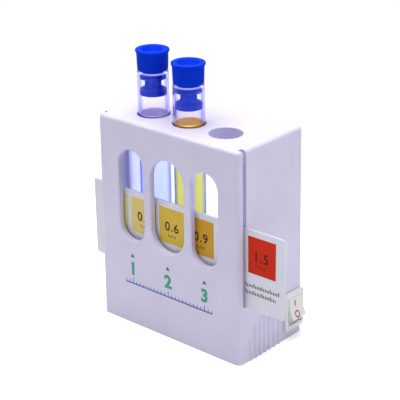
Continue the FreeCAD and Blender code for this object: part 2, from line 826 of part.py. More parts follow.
resistors = []
for x in well_xs:
    resistors.append(box("resistor", f"{x} - resistor_length/2", f"{x} + resistor_length/2", board_rear,
                         f"{board_rear} + resistor_thickness",
                         "(board_low + board_high)/2 - resistor_width/2",
                         "(board_low + board_high)/2 + resistor_width/2"))
group("resistors", resistors)

board_screws = []
for x, z in board_screws_at:
    face = f"({board_front} - box_wall)"
    head = cylinder("board_screw_head", "board_head_radius", "board_head_height", x, face, z, (1, 0, 0), 90)
    shank = cylinder("board_screw_shank", "board_screw_radius", "board_screw_length + root_depth", x,
                     f"{face} + board_screw_length", z, (1, 0, 0), 90)
    board_screws.append(fused("board_screw", [head, shank]))
group("board_screws", board_screws)


# Battery tray: three cells lie across it, one above another, open to the door
tray = new_body("battery_tray")
tray_rear = f"({hinge_y} - hinge_radius - tray_door_gap)"
pad(tray, "XY_Plane", "base_plate_thickness", [rectangle("tray_left", tray_right, tray_front, tray_rear)],
    f"{tray_top} - base_plate_thickness")
pocket(tray, "XZ_Plane", f"-{tray_rear} - cut_margin",
       [rectangle(tray_inner_left, tray_inner_right, "base_plate_thickness + tray_floor", tray_inner_top)],
       f"{tray_rear} + cut_margin - {tray_front} - tray_front_wall", reverse=True)
tab_half_height = "(contact_thickness/2 + contact_tab_gap)"
tab_half_width = "(contact_tab_width/2 + contact_tab_gap)"
for left, z in (("tray_left - cut_margin", first_cell_z),
                (f"{tray_inner_right} - cut_margin", f"({first_cell_z} + 2*cell_pitch)")):
    pocket(tray, "YZ_Plane", left,
           [rectangle(f"{cell_y} - {tab_half_width}", f"{cell_y} + {tab_half_width}",
                      f"{z} - {tab_half_height}", f"{z} + {tab_half_height}")],
           "tray_wall + 2*cut_margin", reverse=True)
keep(tray, "battery_tray")

# Cells, each turned the other way from the one below
left_stop = f"({tray_inner_left} + contact_thickness)"
right_stop = f"({tray_inner_right} - contact_thickness)"
cells = []
springs = []
for row in range(3):
    z = f"({first_cell_z} + {row}*cell_pitch)"
    nub_right = row % 2 == 0
    can = "(cell_length - cell_nub_height)"
    if nub_right:
        can_left = f"{right_stop} - cell_length"
        nub_left = f"{right_stop} - cell_nub_height - cell_nub_root"
        springs.append((left_stop, "1", z))
    else:
        can_left = f"{left_stop} + cell_nub_height"
        nub_left = left_stop
        springs.append((right_stop, "-1", z))
    shell = cylinder("cell_can", "cell_radius", can, can_left, cell_y, z, (0, 1, 0), 90)
    nub = cylinder("cell_nub", "cell_nub_radius", "cell_nub_height + cell_nub_root", nub_left, cell_y, z,
                   (0, 1, 0), 90)
    cells.append(fused("cell", [shell, nub]))
group("battery_cells", cells)


def leaf_spring(seat, way, z):
    """A strip bent to a bow: both feet lie on the contact and the crown meets the cell."""
    foot_end = "(spring_half_height - spring_foot)"
    outer = [("0", "-spring_half_height"), ("spring_thickness", "-spring_half_height"),
             ("spring_thickness", f"-{foot_end}"), ("spring_space", "-spring_crown_half_height"),
             ("spring_space", "spring_crown_half_height"), ("spring_thickness", foot_end),
             ("spring_thickness", "spring_half_height"), ("0", "spring_half_height")]
    inner = [("0", foot_end), ("spring_space - spring_thickness", "spring_crown_half_height"),
             ("spring_space - spring_thickness", "-spring_crown_half_height"), ("0", f"-{foot_end}")]
    outline = [(f"{seat} + {way}*({out})", f"{z} + ({up})") for out, up in outer + inner]
    strip = new_body("battery_spring")
    pad(strip, "XZ_Plane", f"-({cell_y} + spring_width/2)", [polygon(*outline)], "spring_width")
    return strip


group("battery_springs", [leaf_spring(*place) for place in springs])


# Contacts: sprung metal plates at both ends of the tray, two of them with a solder tab
def contact(left, low_row, high_row, tab=None):
    low = f"({first_cell_z} + {low_row}*cell_pitch)"
    high = f"({first_cell_z} + {high_row}*cell_pitch)"
    plate = box("contact_plate", left, f"{left} + contact_thickness", f"{cell_y} - contact_width/2",
                f"{cell_y} + contact_width/2", f"{low} - contact_width/2", f"{high} + contact_width/2")
    if tab is None:
        return plate
    tab_left, tab_right = tab
    strip = box("contact_tab", tab_left, tab_right, f"{cell_y} - contact_tab_width/2",
                f"{cell_y} + contact_tab_width/2", f"{low} - contact_thickness/2",
                f"{low} + contact_thickness/2")
    return fused("contact", [plate, strip])


group("battery_contacts", [
    contact(tray_inner_left, 0, 0,
            ("tray_left - contact_tab_length", f"{tray_inner_left} + contact_thickness")),
    contact(tray_inner_left, 1, 2),
    contact(right_stop, 0, 1),
    contact(right_stop, 2, 2, (right_stop, f"{tray_right} + contact_tab_length"))])


# Battery door: hinged on two pins at its lower edge, with grip grooves near the top
door = new_body("battery_door")
door_left = f"({opening_left} + door_gap)"
door_width = f"({opening_right} - door_gap - {door_left})"
door_top = f"({opening_top} - door_gap)"
pad(door, "YZ_Plane", door_left,
    [rectangle(f"{door_outer} - door_thickness", door_outer, hinge_z, door_top)], door_width)
pad(door, "YZ_Plane", door_left, [circle(hinge_y, hinge_z, "hinge_radius")], door_width)
pad(door, "YZ_Plane", f"{door_left} - hinge_pin_length", [circle(hinge_y, hinge_z, "hinge_pin_radius")],
    f"{door_width} + 2*hinge_pin_length")
door_middle = f"(({opening_left} + {opening_right})/2)"
grooves = []
for step in range(4):
    groove_low = f"({door_top} - grip_groove_inset - {step}*grip_groove_pitch - grip_groove_height)"
    grooves.append(rectangle(f"{door_middle} - grip_groove_half_width",
                             f"{door_middle} + grip_groove_half_width",
                             groove_low, f"{groove_low} + grip_groove_height"))
pocket(door, "XZ_Plane", f"-{door_outer} - cut_margin", grooves, "grip_groove_depth + cut_margin",
       reverse=True)
keep(door, "battery_door")


# The rocker's half height at its pins and at its inner end, so that it just clears the
# opening when it is tipped, and the depth that it then needs behind the bezel's face
rocker_half_height = "(rocker_opening_height/2 - rocker_gap)"
heel_half = f"(({rocker_half_height} - rocker_heel_reach*sin(rocker_tilt))/cos(rocker_tilt))"
cavity_depth = (f"(rocker_pivot_depth + rocker_heel_reach*cos(rocker_tilt) + {heel_half}*sin(rocker_tilt)"
                " + rocker_floor_gap)")

# Switch body: bezel outside the wall, box inside it with a snap wing above and below,
# open in front for the rocker
switch = new_body("switch_body")


def switch_frame(width, height):
    return rectangle(f"{switch_y} - {width}/2", f"{switch_y} + {width}/2", f"switch_z - {height}/2",
                     f"switch_z + {height}/2")


pad(switch, "YZ_Plane", "housing_width/2", [switch_frame("bezel_width", "bezel_height")], "bezel_proud")
soften(switch, "bezel_corner_radius", lambda edge: near(edge.Length, number("bezel_proud"), 0.001))
soften(switch, "bezel_edge_radius",
       lambda edge: near(edge.BoundBox.XMin, number(bezel_face)) and edge.BoundBox.XLength < 0.01)
pad(switch, "YZ_Plane", "housing_width/2", [switch_frame("switch_body_width", "switch_body_height")],
    "switch_body_depth", reverse=True)
wing_root = f"({inside_x} - switch_wing_gap)"
for way in ("-1", "1"):
    side_z = f"(switch_z + {way}*switch_body_height/2)"
    pad(switch, "XZ_Plane", f"-{switch_y} - switch_wing_width/2",
        [polygon((wing_root, f"{side_z} - {way}*root_depth"),
                 (wing_root, f"{side_z} + {way}*switch_wing_rise"),
                 (f"{wing_root} - switch_wing_length", side_z),
                 (f"{wing_root} - switch_wing_length", f"{side_z} - {way}*root_depth"))],
        "switch_wing_width")
pocket(switch, "YZ_Plane", f"{bezel_face} + cut_margin",
       [switch_frame("rocker_opening_width", "rocker_opening_height")], f"{cavity_depth} + cut_margin")
pocket(switch, "XZ_Plane", f"-{switch_y} - rocker_opening_width/2 - rocker_pin_length - rocker_pin_gap",
       [circle(pivot_x, "switch_z", "rocker_pin_radius + rocker_pin_gap")],
       "rocker_opening_width + 2*rocker_pin_length + 2*rocker_pin_gap", reverse=True)
keep(switch, "switch_body")

# Rocker: two sloped faces that meet in a shallow valley, on two pins
rocker = new_body("rocker")
rocker_half = "(rocker_opening_width/2 - rocker_gap)"
waist_reach = f"({rocker_half_height}*(1/cos(rocker_tilt) - 1)/tan(rocker_tilt))"
tip_half = f"(({rocker_half_height} - rocker_tip_reach*sin(rocker_tilt))/cos(rocker_tilt))"
pad(rocker, "XZ_Plane", f"-{rocker_half}",
    [polygon(("-rocker_heel_reach", f"-{heel_half}"), (f"-{waist_reach}", f"-{rocker_half_height}"),
             (waist_reach, f"-{rocker_half_height}"), ("rocker_tip_reach", f"-{tip_half}"),
             ("rocker_valley_reach", "0"), ("rocker_tip_reach", tip_half),
             (waist_reach, rocker_half_height), (f"-{waist_reach}", rocker_half_height),
             ("-rocker_heel_reach", heel_half))], f"2*{rocker_half}")
soften(rocker, "rocker_valley_radius", lambda edge: near(edge.CenterOfMass.x, number("rocker_valley_reach"))
       and near(edge.CenterOfMass.z, 0))
soften(rocker, "rocker_edge_radius", lambda edge: near(edge.CenterOfMass.x, number("rocker_tip_reach"))
       and edge.BoundBox.YLength > number("rocker_opening_width/2"))
pad(rocker, "XZ_Plane", f"-{rocker_half} - rocker_pin_length", [circle("0", "0", "rocker_pin_radius")],
    f"2*{rocker_half} + 2*rocker_pin_length")
rocker.Placement.Rotation = FreeCAD.Rotation(FreeCAD.Vector(0, 1, 0), -number("rocker_tilt"))
locate(rocker, pivot_x, switch_y, "switch_z")
keep(rocker, "rocker")

# Terminals: two blades out of the back of the switch
blades = []
for z in ("(switch_z - terminal_pitch/2)", "(switch_z + terminal_pitch/2)"):
    blades.append(box("terminal", f"{switch_inner} - terminal_length", switch_inner,
                      f"{switch_y} - terminal_width/2", f"{switch_y} + terminal_width/2",
                      f"{z} - terminal_thickness/2", f"{z} + terminal_thickness/2"))
group("switch_terminals", blades)


# Leads between the cells, the switch and the board
def lead(label, points):
    """A round lead along straight runs joined by tangent arcs."""
    radius = number("lead_radius")
    spots = [FreeCAD.Vector(*point) for point in points]
    edges = []
    start = spots[0]
    for i in range(1, len(spots) - 1):
        before = spots[i] - spots[i - 1]
        after = spots[i + 1] - spots[i]
        turn = before.getAngle(after)
        bend = 0.45 * min(before.Length, after.Length) / math.tan(turn / 2)
        back = bend * math.tan(turn / 2)
        enter = spots[i] - before.normalize() * back
        leave = spots[i] + after.normalize() * back
        middle = spots[i] + (after - before).normalize() * (bend / math.cos(turn / 2) - bend)
        edges.append(Part.LineSegment(start, enter).toShape())
        edges.append(Part.Arc(enter, middle, leave).toShape())
        start = leave
        print(label, "bend radius", round(bend, 1))
    edges.append(Part.LineSegment(start, spots[-1]).toShape())
    path = Part.Wire(edges)
    heading = spots[1] - spots[0]
    section = Part.Wire(Part.makeCircle(radius, spots[0], heading))
    solid = path.makePipeShell([section], True, True)
    expected = math.pi * radius * radius * path.Length
    assert abs(solid.Volume - expected) < 0.02 * expected, label + " has a wrong volume"
    wire = doc.addObject("Part::Feature", label)
    wire.Shape = solid
    keep(wire, label)


last_cell_z = f"({first_cell_z} + 2*cell_pitch)"
blade_top = number("switch_z + terminal_pitch/2 + terminal_thickness/2")
blade_low = number("switch_z - terminal_pitch/2")
blade_end = number(f"{switch_inner} - terminal_length")
blade_y = number(switch_y)
tab_right = number(f"{tray_right} + contact_tab_length")
tab_left = number("tray_left - contact_tab_length/2")
tab_y = number(cell_y)
board_back = number(board_rear)
board_edge = number("board_low")
lead("lead_cells_to_switch", [
    (tab_right, tab_y, number(last_cell_z)),
    (tab_right + 5, tab_y, number(last_cell_z)),
    (blade_end + 3, blade_y, blade_top + 10),
    (blade_end + 3, blade_y, blade_top)])
lead("lead_switch_to_board", [
    (blade_end, blade_y, blade_low),
    (blade_end - 3.6, blade_y, blade_low),
    (blade_end - 3.2, blade_y + 0.6, blade_low + 14),
    (blade_end - 3.4, board_back + 2.2, board_edge - 10),
    (blade_end - 3, board_back + 2.6, board_edge + 8),
    (blade_end - 3, board_back, board_edge + 8)])
lead("lead_board_to_cells", [
    (tab_left, tab_y, number(f"{first_cell_z} + contact_thickness/2")),
    (tab_left, tab_y, number(f"{first_cell_z}") + 14),
    (tab_left + 0.4, board_back + 1.8, board_edge - 8),
    (tab_left + 1.2, board_back + 2.4, board_edge + 5),
    (tab_left + 3.4, board_back + 2.6, board_edge + 14),
    (tab_left + 3.4, board_back, board_edge + 14)])


# Every object must be sound before anything is written
doc.recompute()
for item in doc.Objects:
    if "Invalid" in item.State or "Error" in item.State:
        raise RuntimeError(item.Label + " failed: " + str(item.State))
os.makedirs("parts", exist_ok=True)
for item in nodes:
    if item.Shape.isNull() or not item.Shape.isValid():
        raise RuntimeError(item.Label + " has no valid shape")
for item in nodes:
    item.Shape.exportStep("parts/" + item.Label + ".step")
    print(item.Label, len(item.Shape.Solids), round(item.Shape.Volume))
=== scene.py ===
import math

import bmesh
import bpy
from mathutils import Matrix, Vector
from mathutils.bvhtree import BVHTree


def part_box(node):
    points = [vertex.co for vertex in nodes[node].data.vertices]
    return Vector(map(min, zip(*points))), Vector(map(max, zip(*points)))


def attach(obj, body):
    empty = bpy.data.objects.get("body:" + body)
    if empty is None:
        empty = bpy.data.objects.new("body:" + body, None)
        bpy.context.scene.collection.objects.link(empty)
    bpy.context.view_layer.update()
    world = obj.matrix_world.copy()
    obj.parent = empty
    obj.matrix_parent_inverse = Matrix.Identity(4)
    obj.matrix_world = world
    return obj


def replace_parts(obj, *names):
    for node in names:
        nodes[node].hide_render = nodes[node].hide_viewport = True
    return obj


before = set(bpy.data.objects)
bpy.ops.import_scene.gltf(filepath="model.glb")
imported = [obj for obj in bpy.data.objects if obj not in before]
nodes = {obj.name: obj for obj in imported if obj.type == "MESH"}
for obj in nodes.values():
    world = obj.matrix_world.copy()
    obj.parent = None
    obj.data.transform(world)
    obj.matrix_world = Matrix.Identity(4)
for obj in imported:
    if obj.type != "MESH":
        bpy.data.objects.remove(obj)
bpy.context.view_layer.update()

# Housing, base plate and battery door
# One moulded shell in satin white plastic with a cool tint, open underneath, with
# a screwed plate below and a hinged door at the back, all from the same plastic.
mm = 0.001
dark_at, pale_at = 0.3, 0.7
melt_clouds = 22 * mm
tool_grain = 0.35 * mm


def tint(red, green, blue):
    """A paint colour from 0 to 255 as the linear values that a shader takes."""
    return tuple(((value / 255 + 0.055) / 1.055) ** 2.4 for value in (red, green, blue))


def shade(colour, factor):
    return tuple(min(1.0, value * factor) for value in colour)


def finish(name, colour, roughness, **constants):
    """A material with its even values on the shader's own sockets."""
    material = bpy.data.materials.new(name)
    material.use_nodes = True
    surface = material.node_tree.nodes["Principled BSDF"]
    surface.inputs["Base Color"].default_value = (*colour, 1)
    surface.inputs["Roughness"].default_value = roughness
    for socket, value in constants.items():
        surface.inputs[socket.replace("_", " ")].default_value = value
    return material


def noise(material, size, stretch=(1, 1, 1), detail=2.0):
    """Clouds about that big, fixed to the piece."""
    tree = material.node_tree
    place = tree.nodes.new("ShaderNodeTexCoord")
    shape = tree.nodes.new("ShaderNodeMapping")
    shape.inputs["Scale"].default_value = stretch
    clouds = tree.nodes.new("ShaderNodeTexNoise")
    clouds.inputs["Scale"].default_value = 1 / size
    clouds.inputs["Detail"].default_value = detail
    tree.links.new(place.outputs["Object"], shape.inputs["Vector"])
    tree.links.new(shape.outputs["Vector"], clouds.inputs["Vector"])
    return clouds.outputs["Fac"]


def ramp(material, value, *stops):
    """Turns a value into a colour through stops of (position, colour)."""
    node = material.node_tree.nodes.new("ShaderNodeValToRGB")
    elements = node.color_ramp.elements
    while len(elements) < len(stops):
        elements.new(0.5)
    for element, (position, colour) in zip(elements, stops):
        element.position = position
        element.color = (*colour, 1)
    material.node_tree.links.new(value, node.inputs["Fac"])
    return node.outputs["Color"]


def feed(material, value, socket):
    surface = material.node_tree.nodes["Principled BSDF"]
    material.node_tree.links.new(value, surface.inputs[socket])


def grain(material, height, depth, strength=0.5):
    """Raises the surface by a height pattern."""
    bump = material.node_tree.nodes.new("ShaderNodeBump")
    bump.inputs["Distance"].default_value = depth
    bump.inputs["Strength"].default_value = strength
    material.node_tree.links.new(height, bump.inputs["Height"])
    feed(material, bump.outputs["Normal"], "Normal")


def mottled(name, colour, roughness, size, dark, pale, stretch=(1, 1, 1), **constants):
    """A finish whose colour wanders between a dark and a pale tone, in clouds about that big."""
    material = finish(name, colour, roughness, **constants)
    clouds = noise(material, size, stretch)
    feed(material, ramp(material, clouds, (dark_at, dark), (pale_at, pale)), "Base Color")
    return material


def moulded(name, colour, roughness, variation=0.03, grain_depth=0.012 * mm, **constants):
    """Moulded plastic: faint clouding from the melt and the fine grain of the tool."""
    material = mottled(name, colour, roughness, melt_clouds, shade(colour, 1 - variation),
                       shade(colour, 1 + variation), **constants)
    grain(material, noise(material, tool_grain, detail=3), grain_depth)
    return material


def dress(material, *names):
    """Gives nodes of the frame their finish."""
    for name in names:
        mesh = nodes[name].data
        mesh.materials.clear()
        mesh.materials.append(material)


shell_plastic = moulded("shell_plastic", tint(207, 203, 226), 0.42)
dress(shell_plastic, "housing", "base_plate", "battery_door")


# Printing on the front
# Plain position numbers under the windows, each below a small pointer, and a thin
# rule under them, pad printed in teal and blue ink straight on the shell.
ink_rise = 0.02 * mm
ink_mottle = 0.5 * mm
teal = tint(15, 150, 115)
blue = tint(20, 85, 165)
teal_ink = mottled("teal_ink", teal, 0.4, ink_mottle, shade(teal, 0.85), shade(teal, 1.1))
blue_ink = mottled("blue_ink", blue, 0.4, ink_mottle, shade(blue, 0.85), shade(blue, 1.1))


def add_piece(name, mesh, material, body):
    """Puts a finished mesh in the scene, riding on a body."""
    mesh.name = name
    mesh.materials.clear()
    mesh.materials.append(material)
    piece = bpy.data.objects.new(name, mesh)
    bpy.context.scene.collection.objects.link(piece)
    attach(piece, body)
    return piece


def joined(meshes):
    """Several meshes as one."""
    work = bmesh.new()
    for mesh in meshes:
        work.from_mesh(mesh)
    result = bpy.data.meshes.new("joined")
    work.to_mesh(result)
    work.free()
    return result


def shifted(mesh, x, y=0):
    mesh.transform(Matrix.Translation((x, y, 0)))
    return mesh


def numeral(text, height, weight, spacing=1.0):
    """Plain digits in the XY plane, centred, as a thin solid."""
    curve = bpy.data.curves.new("numeral", "FONT")
    curve.body = text
    curve.size = height
    curve.align_x = "CENTER"
    curve.extrude = ink_rise
    curve.resolution_u = 4
    curve.offset = weight * height
    curve.space_character = spacing
    holder = bpy.data.objects.new("numeral", curve)
    bpy.context.scene.collection.objects.link(holder)
    bpy.context.view_layer.update()
    mesh = bpy.data.meshes.new_from_object(holder.evaluated_get(bpy.context.evaluated_depsgraph_get()))
    bpy.data.objects.remove(holder)
    work = bmesh.new()
    work.from_mesh(mesh)
    bmesh.ops.remove_doubles(work, verts=work.verts, dist=1e-7)
    across = [vertex.co.x for vertex in work.verts]
    along = [vertex.co.y for vertex in work.verts]
    middle_x = (min(across) + max(across)) / 2
    middle_y = (min(along) + max(along)) / 2
    size = height / (max(along) - min(along))
    for vertex in work.verts:
        vertex.co.x = (vertex.co.x - middle_x) * size
        vertex.co.y = (vertex.co.y - middle_y) * size
    bmesh.ops.recalc_face_normals(work, faces=work.faces)
    work.to_mesh(mesh)
    work.free()
    return mesh


def bar(width, height):
    """A printed rectangle, centred."""
    work = bmesh.new()
    bmesh.ops.create_cube(work, size=1)
    for vertex in work.verts:
        vertex.co.x *= width
        vertex.co.y *= height
        vertex.co.z *= 2 * ink_rise
    mesh = bpy.data.meshes.new("bar")
    work.to_mesh(mesh)
    work.free()
    return mesh


def triangle(width, height):
    """A printed triangle that points up, centred."""
    corners = [(-width / 2, -height / 2), (width / 2, -height / 2), (0, height / 2)]
    mesh = bpy.data.meshes.new("triangle")
    mesh.from_pydata([(x, y, z) for z in (-ink_rise, ink_rise) for x, y in corners], [],
                     [(2, 1, 0), (3, 4, 5), (0, 1, 4, 3), (1, 2, 5, 4), (2, 0, 3, 5)])
    return mesh


def new_tree(name, **inputs):
    """An empty Geometry Nodes tree with named inputs, each given by its kind of socket."""
    tree = bpy.data.node_groups.new(name, "GeometryNodeTree")
    for label, kind in inputs.items():
        tree.interface.new_socket(label.replace("_", " "), in_out="INPUT", socket_type="NodeSocket" + kind)
    tree.interface.new_socket("Geometry", in_out="OUTPUT", socket_type="NodeSocketGeometry")
    return tree


def add_node(tree, kind, settings=None, **values):
    """Adds a node; each value is a constant or the output that feeds that input."""
    node = tree.nodes.new(kind)
    for setting, value in (settings or {}).items():
        setattr(node, setting, value)
    for label, value in values.items():
        wanted = label.replace("_", " ").strip()
        socket = next(entry for entry in node.inputs if entry.name == wanted and entry.enabled)
        if isinstance(value, bpy.types.NodeSocket):
            tree.links.new(value, socket)
        else:
            socket.default_value = value
    return node


def arithmetic(tree, operation, *operands):
    """The result of a sum over outputs and constants."""
    node = tree.nodes.new("ShaderNodeMath")
    node.operation = operation
    for operand, socket in zip(operands, node.inputs):
        if isinstance(operand, bpy.types.NodeSocket):
            tree.links.new(operand, socket)
        else:
            socket.default_value = operand
    return node.outputs[0]


def row_span(tree, count, pitch):
    """How long a row is from its first piece to its last."""
    return arithmetic(tree, "MULTIPLY", arithmetic(tree, "SUBTRACT", count, 1.0), pitch)


def vector(tree, **parts):
    """A vector with these parts and no others."""
    return add_node(tree, "ShaderNodeCombineXYZ", **parts).outputs[0]


def end_tree(tree, instances, finish_from):
    """Closes a tree: its instances become real, and take the finish."""
    real = add_node(tree, "GeometryNodeRealizeInstances", Geometry=instances)
    coated = add_node(tree, "GeometryNodeSetMaterial", Geometry=real.outputs[0], Material=finish_from)
    add_node(tree, "NodeGroupOutput", Geometry=coated.outputs[0])


def grown(tree, **inputs):
    """The plain mesh that a tree makes from its named inputs."""
    holder = bpy.data.objects.new("grown", bpy.data.meshes.new("grown"))
    bpy.context.scene.collection.objects.link(holder)
    growth = holder.modifiers.new("growth", "NODES")
    growth.node_group = tree
    for socket in tree.interface.items_tree:
        label = socket.name.replace(" ", "_")
        if socket.in_out == "INPUT" and label in inputs:
            growth[socket.identifier] = inputs[label]
    mesh = bpy.data.meshes.new_from_object(holder.evaluated_get(bpy.context.evaluated_depsgraph_get()))
    holder.modifiers.remove(growth)
    bpy.data.objects.remove(holder)
    return mesh


# A row of upright strokes along X, every so many of them longer, as on a printed scale
stroke_row = new_tree("stroke_row", Count="Int", Pitch="Float", Width="Float", Height="Float",
                      Long_Height="Float", Long_Every="Int", Long_From="Int", Thickness="Float",
                      Ink="Material")
given = add_node(stroke_row, "NodeGroupInput").outputs
row_start = arithmetic(stroke_row, "MULTIPLY", row_span(stroke_row, given["Count"], given["Pitch"]), -0.5)
line = add_node(stroke_row, "GeometryNodeMeshLine", Count=given["Count"],
                Start_Location=vector(stroke_row, X=row_start), Offset=vector(stroke_row, X=given["Pitch"]))
from_long = arithmetic(stroke_row, "SUBTRACT", add_node(stroke_row, "GeometryNodeInputIndex").outputs[0],
                       given["Long From"])
left_over = arithmetic(stroke_row, "ABSOLUTE",
                       arithmetic(stroke_row, "MODULO", from_long, given["Long Every"]))
tall = add_node(stroke_row, "GeometryNodeSwitch", {"input_type": "FLOAT"},
                Switch=arithmetic(stroke_row, "GREATER_THAN", left_over, 0.5), False_=given["Long Height"],
                True_=given["Height"]).outputs[0]
standing = add_node(stroke_row, "GeometryNodeSetPosition", Geometry=line.outputs[0],
                    Offset=vector(stroke_row, Y=arithmetic(stroke_row, "MULTIPLY", tall, 0.5)))
stroke = add_node(stroke_row, "GeometryNodeMeshCube", Size=(1, 1, 1))
strokes = add_node(stroke_row, "GeometryNodeInstanceOnPoints", Points=standing.outputs[0],
                   Instance=stroke.outputs[0],
                   Scale=vector(stroke_row, X=given["Width"], Y=tall, Z=given["Thickness"]))
end_tree(stroke_row, strokes.outputs[0], given["Ink"])


def lay_on(mesh, node, across, up, at):
    """Lays a flat print on a node's face: the print's X runs along across, its Y along up."""
    across, up = Vector(across), Vector(up)
    out = across.cross(up)
    tree = BVHTree.FromPolygons([vertex.co for vertex in nodes[node].data.vertices],
                                [face.vertices for face in nodes[node].data.polygons])
    reach = 0.1
    for vertex in mesh.vertices:
        spot = Vector(at) + across * vertex.co.x + up * vertex.co.y
        hit = tree.ray_cast(spot + out * reach, -out, 2 * reach)[0]
        if hit is None:
            raise RuntimeError("a print misses " + node)
        vertex.co = hit + out * vertex.co.z
    return mesh


rightwards = (1, 0, 0)
backwards = (0, 1, 0)
upwards = (0, 0, 1)


def print_on_front(name, mesh, ink, level):
    """Prints across the front wall at a height."""
    lay_on(mesh, "housing", rightwards, upwards, (0, 0, level))
    add_piece(name, mesh, ink, "root")


window_pitch = 24.5 * mm
window_places = (-1, 0, 1)
number_height = 7.6 * mm
number_weight = 0.045
number_level = 32.2 * mm
pointer_width = 3 * mm
pointer_height = 2.2 * mm
pointer_level = 39.6 * mm
rule_level = 23.6 * mm
rule_width = 0.75 * mm
rule_steps = 24
steps_a_window = 10
first_long_stroke = 2
rule_stroke_width = 0.5 * mm
rule_stroke_height = 1.6 * mm
rule_long_height = 3 * mm
numbers = [shifted(numeral(str(place + 2), number_height, number_weight), place * window_pitch)
           for place in window_places]
pointers = [shifted(triangle(pointer_width, pointer_height), place * window_pitch) for place in window_places]
print_on_front("front_numbers", joined(numbers), teal_ink, number_level)
print_on_front("front_pointers", joined(pointers), blue_ink, pointer_level)
rule_pitch = window_pitch / steps_a_window
rule_strokes = grown(stroke_row, Count=rule_steps + 1, Pitch=rule_pitch, Width=rule_stroke_width,
                     Height=rule_stroke_height, Long_Height=rule_long_height, Long_Every=steps_a_window,
                     Long_From=first_long_stroke, Thickness=2 * ink_rise, Ink=blue_ink)
rule_line = bar(rule_steps * rule_pitch + rule_stroke_width, rule_width)
print_on_front("front_rule", joined([rule_line, rule_strokes]), blue_ink, rule_level)


# Tube rack and light box
# Matt white mouldings inside the shell: the rack's cups carry the tubes, and the box behind the lit panel
# spreads the lamps' light. Above the cups both carry a painted glow in the panel's colour.
unlit = (0, 0, 0)
panel_light = tint(200, 208, 255)
painted_glow_start = 40 * mm
painted_glow_full = 60 * mm


def paint_glow_upwards(material, low, high, colour):
    """Paints a glow on a surface from one height up, in full from another."""
    tree = material.node_tree
    place = add_node(tree, "ShaderNodeTexCoord")
    level = add_node(tree, "ShaderNodeSeparateXYZ", Vector=place.outputs["Object"])
    share = add_node(tree, "ShaderNodeMapRange", Value=level.outputs["Z"], From_Min=low, From_Max=high)
    feed(material, ramp(material, share.outputs[0], (0, unlit), (1, colour)), "Emission Color")


# Painted glow: emission in the panel's colour that rises with height on the rack and light box, standing in
# for the light they catch.
inner_plastic = moulded("inner_plastic", tint(236, 236, 246), 0.55, Emission_Strength=0.45)
paint_glow_upwards(inner_plastic, painted_glow_start, painted_glow_full, panel_light)
dress(inner_plastic, "tube_rack", "reflector_tray")


# Lit panel
# A milky acrylic sheet behind the tubes, lit from behind by six lamps, so that it
# glows almost evenly, with a slight blue cast.
panel_strength = 1.6
panel_acrylic = finish("panel_acrylic", panel_light, 0.3, Emission_Strength=panel_strength)
glow = ramp(panel_acrylic, noise(panel_acrylic, 40 * mm, detail=1), (dark_at, shade(panel_light, 0.93)),
            (pale_at, panel_light))
feed(panel_acrylic, glow, "Base Color")
feed(panel_acrylic, glow, "Emission Color")
dress(panel_acrylic, "diffuser_panel")


# Lamp board, lamps and resistors
# Glass laminate under green solder mask with tinned tracks, six white lamps with
# a yellow phosphor window, and three black chip resistors with tinned ends.
board_green = tint(20, 95, 50)
board_laminate = finish("board_laminate", board_green, 0.32)
weave = noise(board_laminate, 0.8 * mm, stretch=(1, 1, 6), detail=1)
feed(board_laminate, ramp(board_laminate, weave, (0.35, shade(board_green, 0.8)),
                          (0.65, shade(board_green, 1.2))), "Base Color")
grain(board_laminate, noise(board_laminate, 1.2 * mm), 0.02 * mm)
dress(board_laminate, "led_board")

# Copies of a piece on a grid, each with a recess cut in it, every second one turned where Turn is 1
copies = new_tree("copies_on_grid", Piece="Object", Cutter="Object", Count_X="Int", Count_Y="Int",
                  Pitch_X="Float", Pitch_Y="Float", Turn="Float", Finish="Material")
given = add_node(copies, "NodeGroupInput").outputs
places = add_node(copies, "GeometryNodeMeshGrid", Size_X=row_span(copies, given["Count X"], given["Pitch X"]),
                  Size_Y=row_span(copies, given["Count Y"], given["Pitch Y"]), Vertices_X=given["Count X"],
                  Vertices_Y=given["Count Y"])
whole = add_node(copies, "GeometryNodeObjectInfo", Object=given["Piece"])
cutter = add_node(copies, "GeometryNodeObjectInfo", Object=given["Cutter"])
cut = copies.nodes.new("GeometryNodeMeshBoolean")
cut.operation = "DIFFERENCE"
copies.links.new(whole.outputs["Geometry"], cut.inputs["Mesh 1"])
copies.links.new(cutter.outputs["Geometry"], cut.inputs["Mesh 2"])
odd = arithmetic(copies, "MODULO", add_node(copies, "GeometryNodeInputIndex").outputs[0], 2.0)
turned_by = arithmetic(copies, "MULTIPLY", arithmetic(copies, "MULTIPLY", odd, given["Turn"]), math.pi)
set_out = add_node(copies, "GeometryNodeInstanceOnPoints", Points=places.outputs[0], Instance=cut.outputs[0],
                   Rotation=vector(copies, Y=turned_by))
end_tree(copies, set_out.outputs[0], given["Finish"])
nothing = bpy.data.meshes.new("nothing")
disc_steps = 32


def box_mesh(low, high, bevel=0.0):
    """A box between two corners, its edges rounded where a bevel is given."""
    work = bmesh.new()
    bmesh.ops.create_cube(work, size=1)
    for vertex in work.verts:
        vertex.co = Vector([low[i] if vertex.co[i] < 0 else high[i] for i in range(3)])
    if bevel:
        bmesh.ops.bevel(work, geom=work.edges[:], offset=bevel, segments=2, affect="EDGES", profile=0.5)
    bmesh.ops.recalc_face_normals(work, faces=work.faces)
    mesh = bpy.data.meshes.new("box")
    work.to_mesh(mesh)
    work.free()
    return mesh


def disc_mesh(radius, low, high):
    """A short round solid along Z."""
    work = bmesh.new()
    bmesh.ops.create_cone(work, cap_ends=True, segments=disc_steps, radius1=radius, radius2=radius,
                          depth=high - low)
    bmesh.ops.translate(work, verts=work.verts, vec=(0, 0, (low + high) / 2))
    mesh = bpy.data.meshes.new("disc")
    work.to_mesh(mesh)
    work.free()
    return mesh


